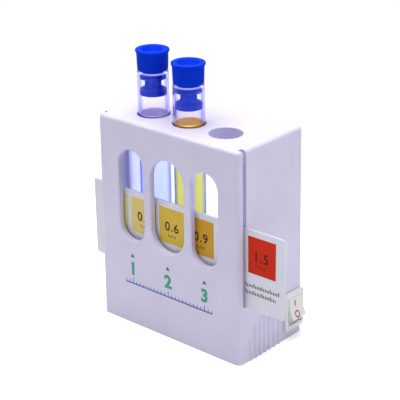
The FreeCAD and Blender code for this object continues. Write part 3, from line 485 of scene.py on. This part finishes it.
def set_out_copies(piece, cutter, count, pitch, finish_material, place, turn=0.0):
    """One plain mesh of a piece's copies, moved to their place on the object."""
    holders = [bpy.data.objects.new("holder", mesh) for mesh in (piece, cutter)]
    for holder in holders:
        bpy.context.scene.collection.objects.link(holder)
    mesh = grown(copies, Piece=holders[0], Cutter=holders[1], Count_X=count[0], Count_Y=count[1],
                 Pitch_X=pitch[0], Pitch_Y=pitch[1], Turn=turn, Finish=finish_material)
    for holder in holders:
        bpy.data.objects.remove(holder)
    mesh.transform(place)
    return mesh


facing_front = Matrix.Rotation(-math.pi / 2, 4, "X")
lamp_count = (3, 2)
lamp_pitch = (23.75 * mm, 24 * mm)
lamp_low, lamp_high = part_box("leds")
lamp_half = 2.5 * mm
lamp_depth = lamp_high.y - lamp_low.y
lamp_edge = 0.12 * mm
lamp_place = Matrix.Translation((0, lamp_low.y, (lamp_low.z + lamp_high.z) / 2)) @ facing_front
recess_radius = 2.05 * mm
recess_depth = 0.15 * mm
phosphor_radius = recess_radius - 0.02 * mm
phosphor_face = 0.08 * mm
phosphor_back = 0.3 * mm
lamp_body = moulded("lamp_body", tint(244, 242, 232), 0.35, variation=0.02, grain_depth=0.004 * mm)
package = box_mesh((-lamp_half, -lamp_half, 0), (lamp_half, lamp_half, lamp_depth), lamp_edge)
packages = set_out_copies(package, disc_mesh(recess_radius, -recess_depth, recess_depth), lamp_count,
                          lamp_pitch, lamp_body, lamp_place)
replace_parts(add_piece("lamp_packages", packages, lamp_body, "root"), "leds")
phosphor = finish("phosphor", tint(255, 225, 120), 0.4, Emission_Strength=1.5)
lit = ramp(phosphor, noise(phosphor, 1.5 * mm), (0.35, tint(255, 220, 120)), (0.65, tint(255, 240, 190)))
feed(phosphor, lit, "Base Color")
feed(phosphor, lit, "Emission Color")
windows = set_out_copies(disc_mesh(phosphor_radius, phosphor_face, phosphor_back), nothing, lamp_count,
                         lamp_pitch, phosphor, lamp_place)
add_piece("lamp_windows", windows, phosphor, "root")

resistor_body = moulded("resistor_body", tint(28, 28, 30), 0.4, variation=0.2)
dress(resistor_body, "resistors")
tin = mottled("tin", tint(205, 205, 208), 0.3, 0.6 * mm, tint(185, 185, 190), tint(218, 218, 222),
              Metallic=1.0)
chip_low, chip_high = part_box("resistors")
chip_half = 1.6 * mm
chip_end = 0.55 * mm
chip_width = chip_high.z - chip_low.z
chip_rise = chip_high.y - chip_low.y
coat = 0.02 * mm
chip_place = Matrix.Translation((0, chip_low.y, (chip_low.z + chip_high.z) / 2)) @ facing_front
caps = []
for side in (-1, 1):
    left, right = sorted((side * (chip_half - chip_end), side * (chip_half + coat)))
    caps.append(box_mesh((left, -chip_width / 2 - coat, 0), (right, chip_width / 2 + coat, chip_rise + coat),
                         coat / 2))
ends = set_out_copies(joined(caps), nothing, (3, 1), lamp_pitch, tin, chip_place)
add_piece("resistor_ends", ends, tin, "root")

board_middle = (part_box("led_board")[0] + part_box("led_board")[1]) / 2
track_width = 1.1 * mm
track_length = 62 * mm
track_level = 18 * mm
branch_length = 15 * mm
branch_level = 10 * mm
branch_shift = 1.4 * mm
tracks = [shifted(bar(track_length, track_width), 0, side * track_level) for side in (-1, 1)]
for column in (-1, 0, 1):
    for side in (-1, 1):
        tracks.append(shifted(bar(track_width, branch_length), column * lamp_pitch[0] + side * branch_shift,
                              side * branch_level))
track_mesh = lay_on(joined(tracks), "led_board", (-1, 0, 0), upwards, (0, 0, board_middle.z))
add_piece("board_tracks", track_mesh, tin, "root")


# Screws
# Zinc plated steel: four countersunk ones hold the base plate, four with pan
# heads hold the light box and the lamp board to the shell.
turning_marks = 0.25 * mm
across_marks = (1, 1, 8)
screw_steel = mottled("screw_steel", tint(190, 190, 196), 0.28, turning_marks, tint(165, 165, 172),
                      tint(208, 208, 212), across_marks, Metallic=1.0)
grain(screw_steel, noise(screw_steel, turning_marks, across_marks), 0.01 * mm)
arc_steps = 6
longest_reach = 0.49
edge_margin = 0.12 * mm
screw_steps = 28
blunt_point = 0.45
second_arm = 0.98


def rounded(corners):
    """A half profile of (radius, height, rounding) with each corner turned into an arc."""
    points = []
    for index, (x, z, size) in enumerate(corners):
        here = Vector((x, z))
        if size <= 0 or index in (0, len(corners) - 1):
            points.append(here)
            continue
        before = Vector(corners[index - 1][:2]) - here
        after = Vector(corners[index + 1][:2]) - here
        half = before.angle(after) / 2
        reach = min(size / math.tan(half), longest_reach * before.length, longest_reach * after.length)
        radius = reach * math.tan(half)
        middle = here + (before.normalized() + after.normalized()).normalized() * (radius / math.sin(half))
        start = here + before.normalized() * reach - middle
        end = here + after.normalized() * reach - middle
        turn = start.angle_signed(end)
        for step in range(arc_steps + 1):
            angle = -turn * step / arc_steps
            points.append(middle + Vector((start.x * math.cos(angle) - start.y * math.sin(angle),
                                           start.x * math.sin(angle) + start.y * math.cos(angle))))
    return points


def held(profile, closed):
    """The profile with a point near both ends of each long run, which keep its shading true."""
    points = []
    following = profile[1:] + profile[:1]
    for here, there in zip(profile, following):
        points.append(here)
        run = there - here
        last = there is profile[0]
        if run.length > 4 * edge_margin and (closed or not last):
            points.append(here + run.normalized() * edge_margin)
            points.append(there - run.normalized() * edge_margin)
    return points


def lathe(corners, axis, steps=96):
    """Turns a half profile, which starts and ends on the axis or closes on itself, into a smooth solid."""
    closed = corners[0][0] > 0
    profile = held(rounded(corners), closed)
    work = bmesh.new()
    rings = []
    for point in profile:
        if point.x < 1e-9:
            rings.append([work.verts.new((axis[0], axis[1], point.y))] * steps)
            continue
        rings.append([work.verts.new((axis[0] + point.x * math.cos(2 * math.pi * step / steps),
                                      axis[1] + point.x * math.sin(2 * math.pi * step / steps), point.y))
                      for step in range(steps)])
    pairs = list(zip(rings, rings[1:]))
    if closed:
        pairs.append((rings[-1], rings[0]))
    for low, high in pairs:
        for step in range(steps):
            following = (step + 1) % steps
            face = []
            for vertex in (low[step], low[following], high[following], high[step]):
                if vertex not in face:
                    face.append(vertex)
            if len(face) > 2:
                work.faces.new(face).smooth = True
    bmesh.ops.recalc_face_normals(work, faces=work.faces)
    mesh = bpy.data.meshes.new("lathe")
    work.to_mesh(mesh)
    work.free()
    return mesh


def screw_mesh(head_radius, head_height, shank_radius, length, countersunk):
    """A screw along Z with its head's face at 0: head, shank with thread ridges, and point."""
    thread_depth = 0.22 * mm
    thread_pitch = 0.55 * mm
    plain_shank = 0.6 * mm
    point_length = 0.9 * mm
    sharp = 0.1 * mm
    corners = [(0, 0, 0), (head_radius, 0, sharp if countersunk else 0.6 * mm)]
    if not countersunk:
        corners.append((head_radius, head_height, sharp))
    corners.append((shank_radius, head_height, sharp / 2))
    level = head_height + plain_shank
    while level + thread_pitch < length - point_length:
        corners += [(shank_radius, level, 0), (shank_radius - thread_depth, level + thread_pitch / 2, 0)]
        level += thread_pitch
    corners += [(shank_radius, level, 0), (shank_radius * blunt_point, length, sharp), (0, length, 0)]
    return lathe(corners, (0, 0), screw_steps)


def cross_mesh(length, width, depth):
    """The recess that a driver fits; its second arm is a hair shallower than the first."""
    shallow = depth * second_arm
    return joined([box_mesh((-length / 2, -width / 2, -depth), (length / 2, width / 2, depth)),
                   box_mesh((-width / 2, -length / 2, -shallow), (width / 2, length / 2, shallow))])


for node, head_radius, head_height, shank_radius, countersunk, cross in (
        ("base_screws", 2.8 * mm, 1.6 * mm, 1.45 * mm, True, (3.2 * mm, 0.8 * mm, 1.2 * mm)),
        ("board_screws", 2.3 * mm, 1.5 * mm, 1.2 * mm, False, (2.6 * mm, 0.7 * mm, 0.9 * mm))):
    low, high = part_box(node)
    if countersunk:
        length = high.z - low.z
        pitch = (high.x - low.x - 2 * head_radius, high.y - low.y - 2 * head_radius)
        place = Matrix.Translation((0, (low.y + high.y) / 2, low.z))
    else:
        length = high.y - low.y
        pitch = (high.x - low.x - 2 * head_radius, high.z - low.z - 2 * head_radius)
        place = Matrix.Translation((0, low.y, (low.z + high.z) / 2)) @ facing_front
    screws = set_out_copies(screw_mesh(head_radius, head_height, shank_radius, length, countersunk),
                            cross_mesh(*cross), (2, 2), pitch, screw_steel, place)
    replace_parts(add_piece(node.replace("_", "_cross_"), screws, screw_steel, "root"), node)


# Battery tray, cells, springs and contacts
# Three plain sleeved cells lie across a matt moulded tray; nickel plated leaves and
# plates join them in series.
tray_plastic = moulded("tray_plastic", tint(224, 224, 230), 0.5)
dress(tray_plastic, "battery_tray")
contact_metal = mottled("contact_metal", tint(205, 203, 198), 0.2, 0.4 * mm, tint(185, 183, 178),
                        tint(220, 218, 214), (1, 8, 1), Metallic=1.0)
dress(contact_metal, "battery_springs", "battery_contacts")
wrap_colour = tint(38, 40, 48)
cell_wrap = mottled("cell_wrap", wrap_colour, 0.3, 6 * mm, shade(wrap_colour, 0.8), wrap_colour)
grain(cell_wrap, noise(cell_wrap, 0.6 * mm), 0.01 * mm)
cell_radius = 7.15 * mm
cell_half = 25.25 * mm
nub_radius = 2.75 * mm
nub_height = 1 * mm
cell_pitch = 14.6 * mm
wrap_thickness = 0.12 * mm
wrap_curl = 1.3 * mm
can_step = 0.1 * mm
shoulder_step = 0.25 * mm
cell_steps = 64
can_top = cell_half - nub_height
can_radius = cell_radius - wrap_thickness
curl_radius = cell_radius - wrap_curl
cell_low, cell_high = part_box("battery_cells")
cells_middle = (cell_low + cell_high) / 2
end_shift = cell_high.x - cells_middle.x - cell_half
lying_down = Matrix.Translation((end_shift, 0, 0)) @ Matrix.Rotation(math.pi / 2, 4, "Y")
cells_place = Matrix.Translation(cells_middle) @ Matrix.Rotation(math.pi / 2, 4, "X")
can = [(0, can_step - cell_half, 0), (can_radius, can_step - cell_half, 0.5 * mm),
       (can_radius, can_top - can_step, 0.5 * mm),
       (nub_radius + 0.6 * mm, can_top - shoulder_step, 0.2 * mm), (nub_radius, can_top, 0.2 * mm),
       (nub_radius, cell_half, 0.4 * mm), (0, cell_half, 0)]
sleeve = [(curl_radius, -cell_half, 0), (cell_radius, -cell_half, 0.6 * mm),
          (cell_radius, can_top, 0.6 * mm), (curl_radius, can_top, 0),
          (curl_radius, can_top - wrap_thickness, 0), (can_radius, can_top - wrap_thickness, 0.5 * mm),
          (can_radius, wrap_thickness - cell_half, 0.5 * mm), (curl_radius, wrap_thickness - cell_half, 0)]


def set_out_cells(name, profile, metal_or_wrap):
    """Turns one part of a cell and lays it in the three places, every second one the other way round."""
    part = lathe(profile, (0, 0), cell_steps)
    part.transform(lying_down)
    parts = set_out_copies(part, nothing, (1, 3), (0, cell_pitch), metal_or_wrap, cells_place, 1.0)
    return add_piece(name, parts, metal_or_wrap, "root")


set_out_cells("cell_cans", can, contact_metal)
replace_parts(set_out_cells("cell_sleeves", sleeve, cell_wrap), "battery_cells")


# Rocker switch
# A snap-in switch in glossy off-white plastic; the rocker is printed with a bar
# for on and a ring for off in crimson, and two tinned blades stand at its back.
switch_plastic = moulded("switch_plastic", tint(222, 223, 221), 0.25, variation=0.015, grain_depth=0.004 * mm)
dress(switch_plastic, "switch_body", "rocker")
crimson = tint(165, 25, 60)
crimson_ink = mottled("crimson_ink", crimson, 0.35, 0.4 * mm, shade(crimson, 0.85), crimson)
terminal_brass = mottled("terminal_brass", tint(214, 196, 150), 0.25, 0.3 * mm, tint(196, 178, 130),
                         tint(224, 208, 166), (8, 1, 1), Metallic=1.0)
dress(terminal_brass, "switch_terminals")
ring_steps = 36
mark_shift = 0.8 * mm
on_mark_size = (0.9 * mm, 3.3 * mm)
on_mark_level = 20 * mm
off_mark_size = (3.6 * mm, 3.8 * mm)
off_mark_stroke = 0.7 * mm
off_mark_level = 14.2 * mm


def ring(width, height, stroke):
    """A printed oval ring, centred."""
    work = bmesh.new()
    loops = []
    for rise in (-ink_rise, ink_rise):
        for inset in (0, stroke):
            loop = []
            for step in range(ring_steps):
                angle = 2 * math.pi * step / ring_steps
                loop.append(work.verts.new(((width / 2 - inset) * math.cos(angle),
                                            (height / 2 - inset) * math.sin(angle), rise)))
            loops.append(loop)
    low_out, low_in, top_out, top_in = loops
    for first, second in ((low_out, top_out), (top_out, top_in), (top_in, low_in), (low_in, low_out)):
        for step in range(ring_steps):
            following = (step + 1) % ring_steps
            work.faces.new((first[step], first[following], second[following], second[step]))
    bmesh.ops.recalc_face_normals(work, faces=work.faces)
    mesh = bpy.data.meshes.new("ring")
    work.to_mesh(mesh)
    work.free()
    return mesh


def print_on_rocker(name, mesh, level):
    """Prints on the rocker's face, a little towards the front of its middle."""
    middle_y = (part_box("rocker")[0].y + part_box("rocker")[1].y) / 2
    lay_on(mesh, "rocker", backwards, upwards, (0, middle_y - mark_shift, level))
    add_piece(name, mesh, crimson_ink, "rocker")


print_on_rocker("on_mark", bar(*on_mark_size), on_mark_level)
print_on_rocker("off_mark", ring(*off_mark_size, off_mark_stroke), off_mark_level)


# Leads
# Soft insulated wires: two red from the cells through the switch to the board,
# one black back to the cells.
for name, colour, wires in (("lead_red", tint(170, 25, 25), ("lead_cells_to_switch", "lead_switch_to_board")),
                            ("lead_black", tint(28, 28, 30), ("lead_board_to_cells",))):
    insulation = mottled(name, colour, 0.45, 2 * mm, shade(colour, 0.8), colour)
    grain(insulation, noise(insulation, 0.3 * mm), 0.02 * mm)
    dress(insulation, *wires)


# Test tubes
# Drawn borosilicate tubes, 16 mm across with a 1 mm wall, a flat foot with a
# rounded heel and a fire-polished rim; they stand in the rack's cups.
tube_radius = 8 * mm
tube_bore = 7 * mm
tube_floor = 1.4 * mm
tube_heel = 2.2 * mm
bore_heel = 1.2 * mm
rim_rounding = 0.45 * mm
rim_glow_band = 1 * mm
rim_painted_glow = (0.2, 0.2, 0.3)
glass_clear = (0.985, 0.99, 1.0)
painted_edge_tint = tint(150, 150, 244)
tube_glass = finish("tube_glass", glass_clear, 0.0, Transmission_Weight=1.0, IOR=1.25)
# The glass turns lavender blue where it faces away from view: painted colour standing in for the bluish light
# refracted at the tube's edges.
slope = add_node(tube_glass.node_tree, "ShaderNodeLayerWeight")
feed(tube_glass, ramp(tube_glass, slope.outputs["Facing"], (0.28, glass_clear), (0.6, painted_edge_tint)),
     "Base Color")


def mark_painted_glow(mesh, low, high):
    """Marks where a clear piece gets a painted glow near its top, standing in for light that the glass pipes
    up: none at low, all of it at high.
    """
    light = mesh.attributes.new("piped_light", "FLOAT", "POINT")
    for vertex, mark in zip(mesh.vertices, light.data):
        mark.value = min(1.0, max(0.0, (vertex.co.z - low) / (high - low)))


def paint_marked_glow(material, colour):
    """Paints that glow in a colour, as emission."""
    light = add_node(material.node_tree, "ShaderNodeAttribute", {"attribute_name": "piped_light"})
    feed(material, ramp(material, light.outputs["Fac"], (0, unlit), (1, colour)), "Emission Color")
    material.node_tree.nodes["Principled BSDF"].inputs["Emission Strength"].default_value = 1.0


def upright_piece(node):
    """Where the axis of a round upright node stands, and its lowest and highest levels."""
    low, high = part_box(node)
    return ((low.x + high.x) / 2, (low.y + high.y) / 2), low.z, high.z


# The tube rims get a painted glow, standing in for the lit well's light piped up the glass.
paint_marked_glow(tube_glass, rim_painted_glow)
for side in ("left", "middle"):
    axis, foot, rim = upright_piece("glass_tube_" + side)
    glass = lathe([(0, foot, 0), (tube_radius, foot, tube_heel), (tube_radius, rim - rim_glow_band, 0),
                   (tube_radius, rim, rim_rounding), (tube_bore, rim, rim_rounding),
                   (tube_bore, rim - rim_glow_band, 0), (tube_bore, foot + tube_floor, bore_heel),
                   (0, foot + tube_floor, 0)], axis)
    mark_painted_glow(glass, rim - rim_glow_band, rim - rim_glow_band / 2)
    tube = add_piece("tube_" + side, glass, tube_glass, "tube_" + side)
    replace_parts(tube, "glass_tube_" + side)


# Samples
# Clear water in the left tube and a treated amber sample in the middle one, each
# wetting the glass and rising a little at the wall.
wetting = 0.03 * mm
climb_width = 1.4 * mm
climb_edge = 0.25 * mm
climb_height = 0.7 * mm
surface_glow_band = 1.5 * mm


def absorb(material, colour, density):
    """The colour that the liquid takes from light by its depth."""
    tree = material.node_tree
    volume = add_node(tree, "ShaderNodeVolumeAbsorption", Color=(*colour, 1), Density=density)
    tree.links.new(volume.outputs["Volume"], tree.nodes["Material Output"].inputs["Volume"])


clear_sample = finish("clear_sample", (0.99, 0.995, 1.0), 0.0, Transmission_Weight=1.0, IOR=1.15)
# The water's lavender absorption is painted colour, standing in for the bluish light of the lit well seen
# through it.
absorb(clear_sample, (0.7, 0.72, 0.88), 100)
# Painted glow under the water's surface in lilac, and under the amber sample's in amber, standing in for
# light piped up from the lit well.
paint_marked_glow(clear_sample, (0.15, 0.11, 0.36))
amber_sample = finish("amber_sample", (1.0, 0.985, 0.9), 0.0, Transmission_Weight=1.0, IOR=1.25)
absorb(amber_sample, (0.91, 0.87, 0.05), 190)
paint_marked_glow(amber_sample, (0.3, 0.11, 0.0))
wet = tube_bore + wetting
for side, liquid, liquid_slot in (("left", clear_sample, "clear_sample"),
                                  ("middle", amber_sample, "amber_sample")):
    axis, foot, level = upright_piece("sample_" + side)
    body = lathe([(0, foot - wetting, 0), (wet, foot - wetting, bore_heel), (wet, level - surface_glow_band, 0),
                  (wet, level, 0), (wet - climb_edge, level - 0.3 * mm, 0.3 * mm),
                  (wet - climb_width, level - climb_height, 1 * mm), (0, level - climb_height, 0)], axis)
    # A painted glow just under each surface, rising towards the top.
    mark_painted_glow(body, level - surface_glow_band, level - climb_height)
    filling = add_piece("filling_" + side, body, liquid, "tube_" + side)
    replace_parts(filling, "sample_" + side)


# Stoppers
# Soft blue polyethylene, moulded hollow: a flared head with a dished top, and a
# plug with a fin and a bell-shaped seal that springs against the glass.
stopper_plastic = moulded("stopper_plastic", tint(0, 52, 205), 0.55, variation=0.05, Specular_IOR_Level=0.03)
head_height = 10.7 * mm
dish_depth = 2.6 * mm
dish_radii = (3.6 * mm, 5.85 * mm)
lip_radius = 8.6 * mm
lip_height = 1.1 * mm
skirt_radii = (7.75 * mm, 8.05 * mm)
root_radius = 5 * mm
fin_radius = 6.7 * mm
fin_depths = (2.9 * mm, 4.2 * mm)
neck_radius = 4.2 * mm
bell_radii = (6.5 * mm, 6.9 * mm)
bell_depths = (9 * mm, 9.7 * mm, 10.1 * mm)
plug_length = 12.5 * mm
hollow_radius = 3.2 * mm
hollow_roof = 2 * mm
for side in ("left", "middle"):
    axis, low, top = upright_piece("stopper_" + side)
    foot = top - head_height
    profile = [(0, top - dish_depth, 0), (dish_radii[0], top - dish_depth, 2 * mm),
               (dish_radii[1], top, 0.9 * mm), (lip_radius, top, 0.35 * mm),
               (lip_radius, top - lip_height, 0.5 * mm),
               (skirt_radii[1], top - lip_height - 0.2 * mm, 0.4 * mm), (skirt_radii[0], foot, 0.6 * mm),
               (root_radius, foot, 0.3 * mm), (root_radius, foot - fin_depths[0], 0.3 * mm),
               (fin_radius, foot - fin_depths[0], 0.25 * mm), (fin_radius, foot - fin_depths[1], 0.25 * mm),
               (neck_radius, foot - fin_depths[1], 0.4 * mm), (neck_radius, foot - bell_depths[0], 1.2 * mm),
               (bell_radii[0], foot - bell_depths[1], 0.4 * mm),
               (bell_radii[1], foot - bell_depths[2], 0.3 * mm),
               (bell_radii[1], foot - plug_length, 0.3 * mm),
               (hollow_radius, foot - plug_length, 0.4 * mm),
               (hollow_radius, foot - hollow_roof, 0.6 * mm), (0, foot - hollow_roof, 0)]
    stopper = add_piece("cap_" + side, lathe(profile, axis), stopper_plastic, "stopper_" + side)
    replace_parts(stopper, "stopper_" + side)


# Colour card
# A stiff white plastic strip, offset printed with six patches and their values;
# it slides in the slots at both ends of the shell.
card_plastic = moulded("card_plastic", tint(216, 218, 228), 0.4, variation=0.01, grain_depth=0.004 * mm)
dress(card_plastic, "color_card")
black_ink = mottled("black_ink", tint(24, 20, 18), 0.5, ink_mottle, tint(18, 15, 14), tint(34, 30, 28),
                    Specular_IOR_Level=0.1)
maroon_ink = mottled("maroon_ink", tint(70, 8, 8), 0.5, ink_mottle, tint(60, 6, 6), tint(80, 10, 9),
                     Specular_IOR_Level=0.1)
patch_width = 16.9 * mm
narrow_width = 15.8 * mm
patch_height = 19.5 * mm
patch_level = 60.95 * mm
value_height = 5.1 * mm
value_weight = 0.012
value_spacing = 1.12
value_level = 60.7 * mm
mark_level = 54.9 * mm
scale_left = 47 * mm
scale_pitch = 1 * mm
patches = [("0", -39.2 * mm, patch_width, tint(222, 214, 150), black_ink),
           ("0.3", -19.9 * mm, patch_width, tint(222, 200, 122), black_ink),
           ("0.6", -0.6 * mm, patch_width, tint(216, 184, 74), black_ink),
           ("0.9", 18.7 * mm, patch_width, tint(206, 156, 48), black_ink),
           ("1.2", 37.9 * mm, narrow_width, tint(206, 104, 30), black_ink),
           ("1.5", 57.3 * mm, patch_width, tint(203, 42, 8), maroon_ink)]


def print_on_card(name, mesh, ink, x, z, lift=0.0):
    """Prints on the card's front, over an earlier print where there is one."""
    lay_on(mesh, "color_card", rightwards, upwards, (x, 0, z))
    mesh.transform(Matrix.Translation((0, -lift, 0)))
    add_piece(name, mesh, ink, "card")


for value, x, width, colour, ink in patches:
    label = value.replace(".", "_")
    patch_ink = moulded("patch_ink_" + label, colour, 0.5, grain_depth=0.003 * mm, Specular_IOR_Level=0.1)
    print_on_card("patch_" + label, bar(width, patch_height), patch_ink, x, patch_level)
    print_on_card("value_" + label, numeral(value, value_height, value_weight, value_spacing), ink, x,
                  value_level, ink_rise)
    marks = grown(stroke_row, Count=5, Pitch=1.1 * mm, Width=0.4 * mm, Height=0.9 * mm, Long_Height=1.5 * mm,
                  Long_Every=2, Thickness=2 * ink_rise, Ink=ink)
    print_on_card("marks_" + label, marks, ink, x, mark_level, ink_rise)
for name, level, count in (("card_scale_1", 43.5 * mm, 21), ("card_scale_2", 39.8 * mm, 19)):
    scale = grown(stroke_row, Count=count, Pitch=scale_pitch, Width=0.5 * mm, Height=1.5 * mm,
                  Long_Height=2.3 * mm, Long_Every=5, Thickness=2 * ink_rise, Ink=black_ink)
    print_on_card(name, scale, black_ink, scale_left + count * scale_pitch / 2, level)


# Studio
# A pale floor that fades to white away from the object, soft lamps above and at
# both sides, and a camera at the photograph's place.
white = (1, 1, 1, 1)
floor_half = 1.5
fade_start = 0.16
fade_end = 0.5
floor_lift = 0.35
ambient_light = 0.17
middle = (0, 0, 60 * mm)


def mixed(tree, share, first, second):
    """One shader where the share is 0, the other where it is 1."""
    node = tree.nodes.new("ShaderNodeMixShader")
    for source, socket in zip((share, first, second), node.inputs):
        tree.links.new(source, socket)
    return node.outputs[0]


def soft_lamp(name, size, power, place):
    """A square soft box that faces the object's middle."""
    lamp = bpy.data.lights.new(name, "AREA")
    lamp.size = size
    lamp.energy = power
    lamp.color = (1.0, 0.99, 1.0)
    holder = bpy.data.objects.new(name, lamp)
    holder.location = place
    holder.rotation_euler = (Vector(place) - Vector(middle)).to_track_quat("Z", "Y").to_euler()
    bpy.context.scene.collection.objects.link(holder)


floor = finish("pale_floor", (0.92, 0.92, 0.93), 0.7)
tree = floor.node_tree
path = add_node(tree, "ShaderNodeLightPath").outputs
brighten = add_node(tree, "ShaderNodeEmission", Color=white,
                    Strength=arithmetic(tree, "MULTIPLY", path["Is Camera Ray"], floor_lift))
pale = tree.nodes.new("ShaderNodeAddShader")
tree.links.new(tree.nodes["Principled BSDF"].outputs["BSDF"], pale.inputs[0])
tree.links.new(brighten.outputs["Emission"], pale.inputs[1])
place = add_node(tree, "ShaderNodeTexCoord")
distance = add_node(tree, "ShaderNodeVectorMath", {"operation": "LENGTH"}, Vector=place.outputs["Object"])
fade = add_node(tree, "ShaderNodeMapRange", {"interpolation_type": "SMOOTHSTEP"},
                Value=distance.outputs["Value"], From_Min=fade_start, From_Max=fade_end)
faded = arithmetic(tree, "MULTIPLY", fade.outputs[0], path["Is Camera Ray"])
paper = add_node(tree, "ShaderNodeEmission", Color=white)
tree.links.new(mixed(tree, faded, pale.outputs["Shader"], paper.outputs["Emission"]),
               tree.nodes["Material Output"].inputs["Surface"])
sheet = bpy.data.meshes.new("floor")
sheet.from_pydata([(-floor_half, -floor_half, 0), (floor_half, -floor_half, 0), (floor_half, floor_half, 0),
                   (-floor_half, floor_half, 0)], [], [(0, 1, 2, 3)])
sheet.materials.append(floor)
ground = bpy.data.objects.new("floor", sheet)
bpy.context.scene.collection.objects.link(ground)

world = bpy.data.worlds.new("studio")
bpy.context.scene.world = world
world.use_nodes = True
tree = world.node_tree
ambient = tree.nodes["Background"]
ambient.inputs["Color"].default_value = (0.93, 0.93, 1.0, 1)
ambient.inputs["Strength"].default_value = ambient_light
backdrop = add_node(tree, "ShaderNodeBackground", Color=white, Strength=1.0)
path = add_node(tree, "ShaderNodeLightPath").outputs
mirrored = arithmetic(tree, "MAXIMUM", path["Is Glossy Ray"], path["Is Transmission Ray"])
seen = arithmetic(tree, "MAXIMUM", path["Is Camera Ray"], mirrored)
tree.links.new(mixed(tree, seen, ambient.outputs["Background"], backdrop.outputs["Background"]),
               tree.nodes["World Output"].inputs["Surface"])

soft_lamp("top_box", 0.8, 12, (-0.1, -0.04, 0.9))
soft_lamp("left_box", 0.5, 0.2, (-0.6, -0.9, 0.35))
soft_lamp("right_box", 0.5, 2.0, (0.9, 0.12, 0.32))

azimuth, elevation, roll = math.radians(41.305), math.radians(22.839), math.radians(-0.785)
camera_distance = 671.412 * mm
aim = Vector((0.029 * mm, 0, 69.046 * mm))
back = Vector((math.sin(azimuth) * math.cos(elevation), -math.cos(azimuth) * math.cos(elevation),
               math.sin(elevation)))
right = Vector((math.cos(azimuth), math.sin(azimuth), 0))
up = back.cross(right)
camera_right = right * math.cos(roll) + up * math.sin(roll)
camera_up = up * math.cos(roll) - right * math.sin(roll)
focal_pixels = 1312
picture_pixels = 400
lens = bpy.data.cameras.new("camera")
lens.sensor_width = 36
lens.lens = focal_pixels / picture_pixels * lens.sensor_width
lens.clip_start = 0.01
camera = bpy.data.objects.new("camera", lens)
bpy.context.scene.collection.objects.link(camera)
turned = Matrix((camera_right, camera_up, back)).transposed().to_4x4()
camera.matrix_world = Matrix.Translation(aim + back * camera_distance) @ turned
bpy.context.scene.camera = camera
bpy.context.scene.view_settings.view_transform = "Standard"
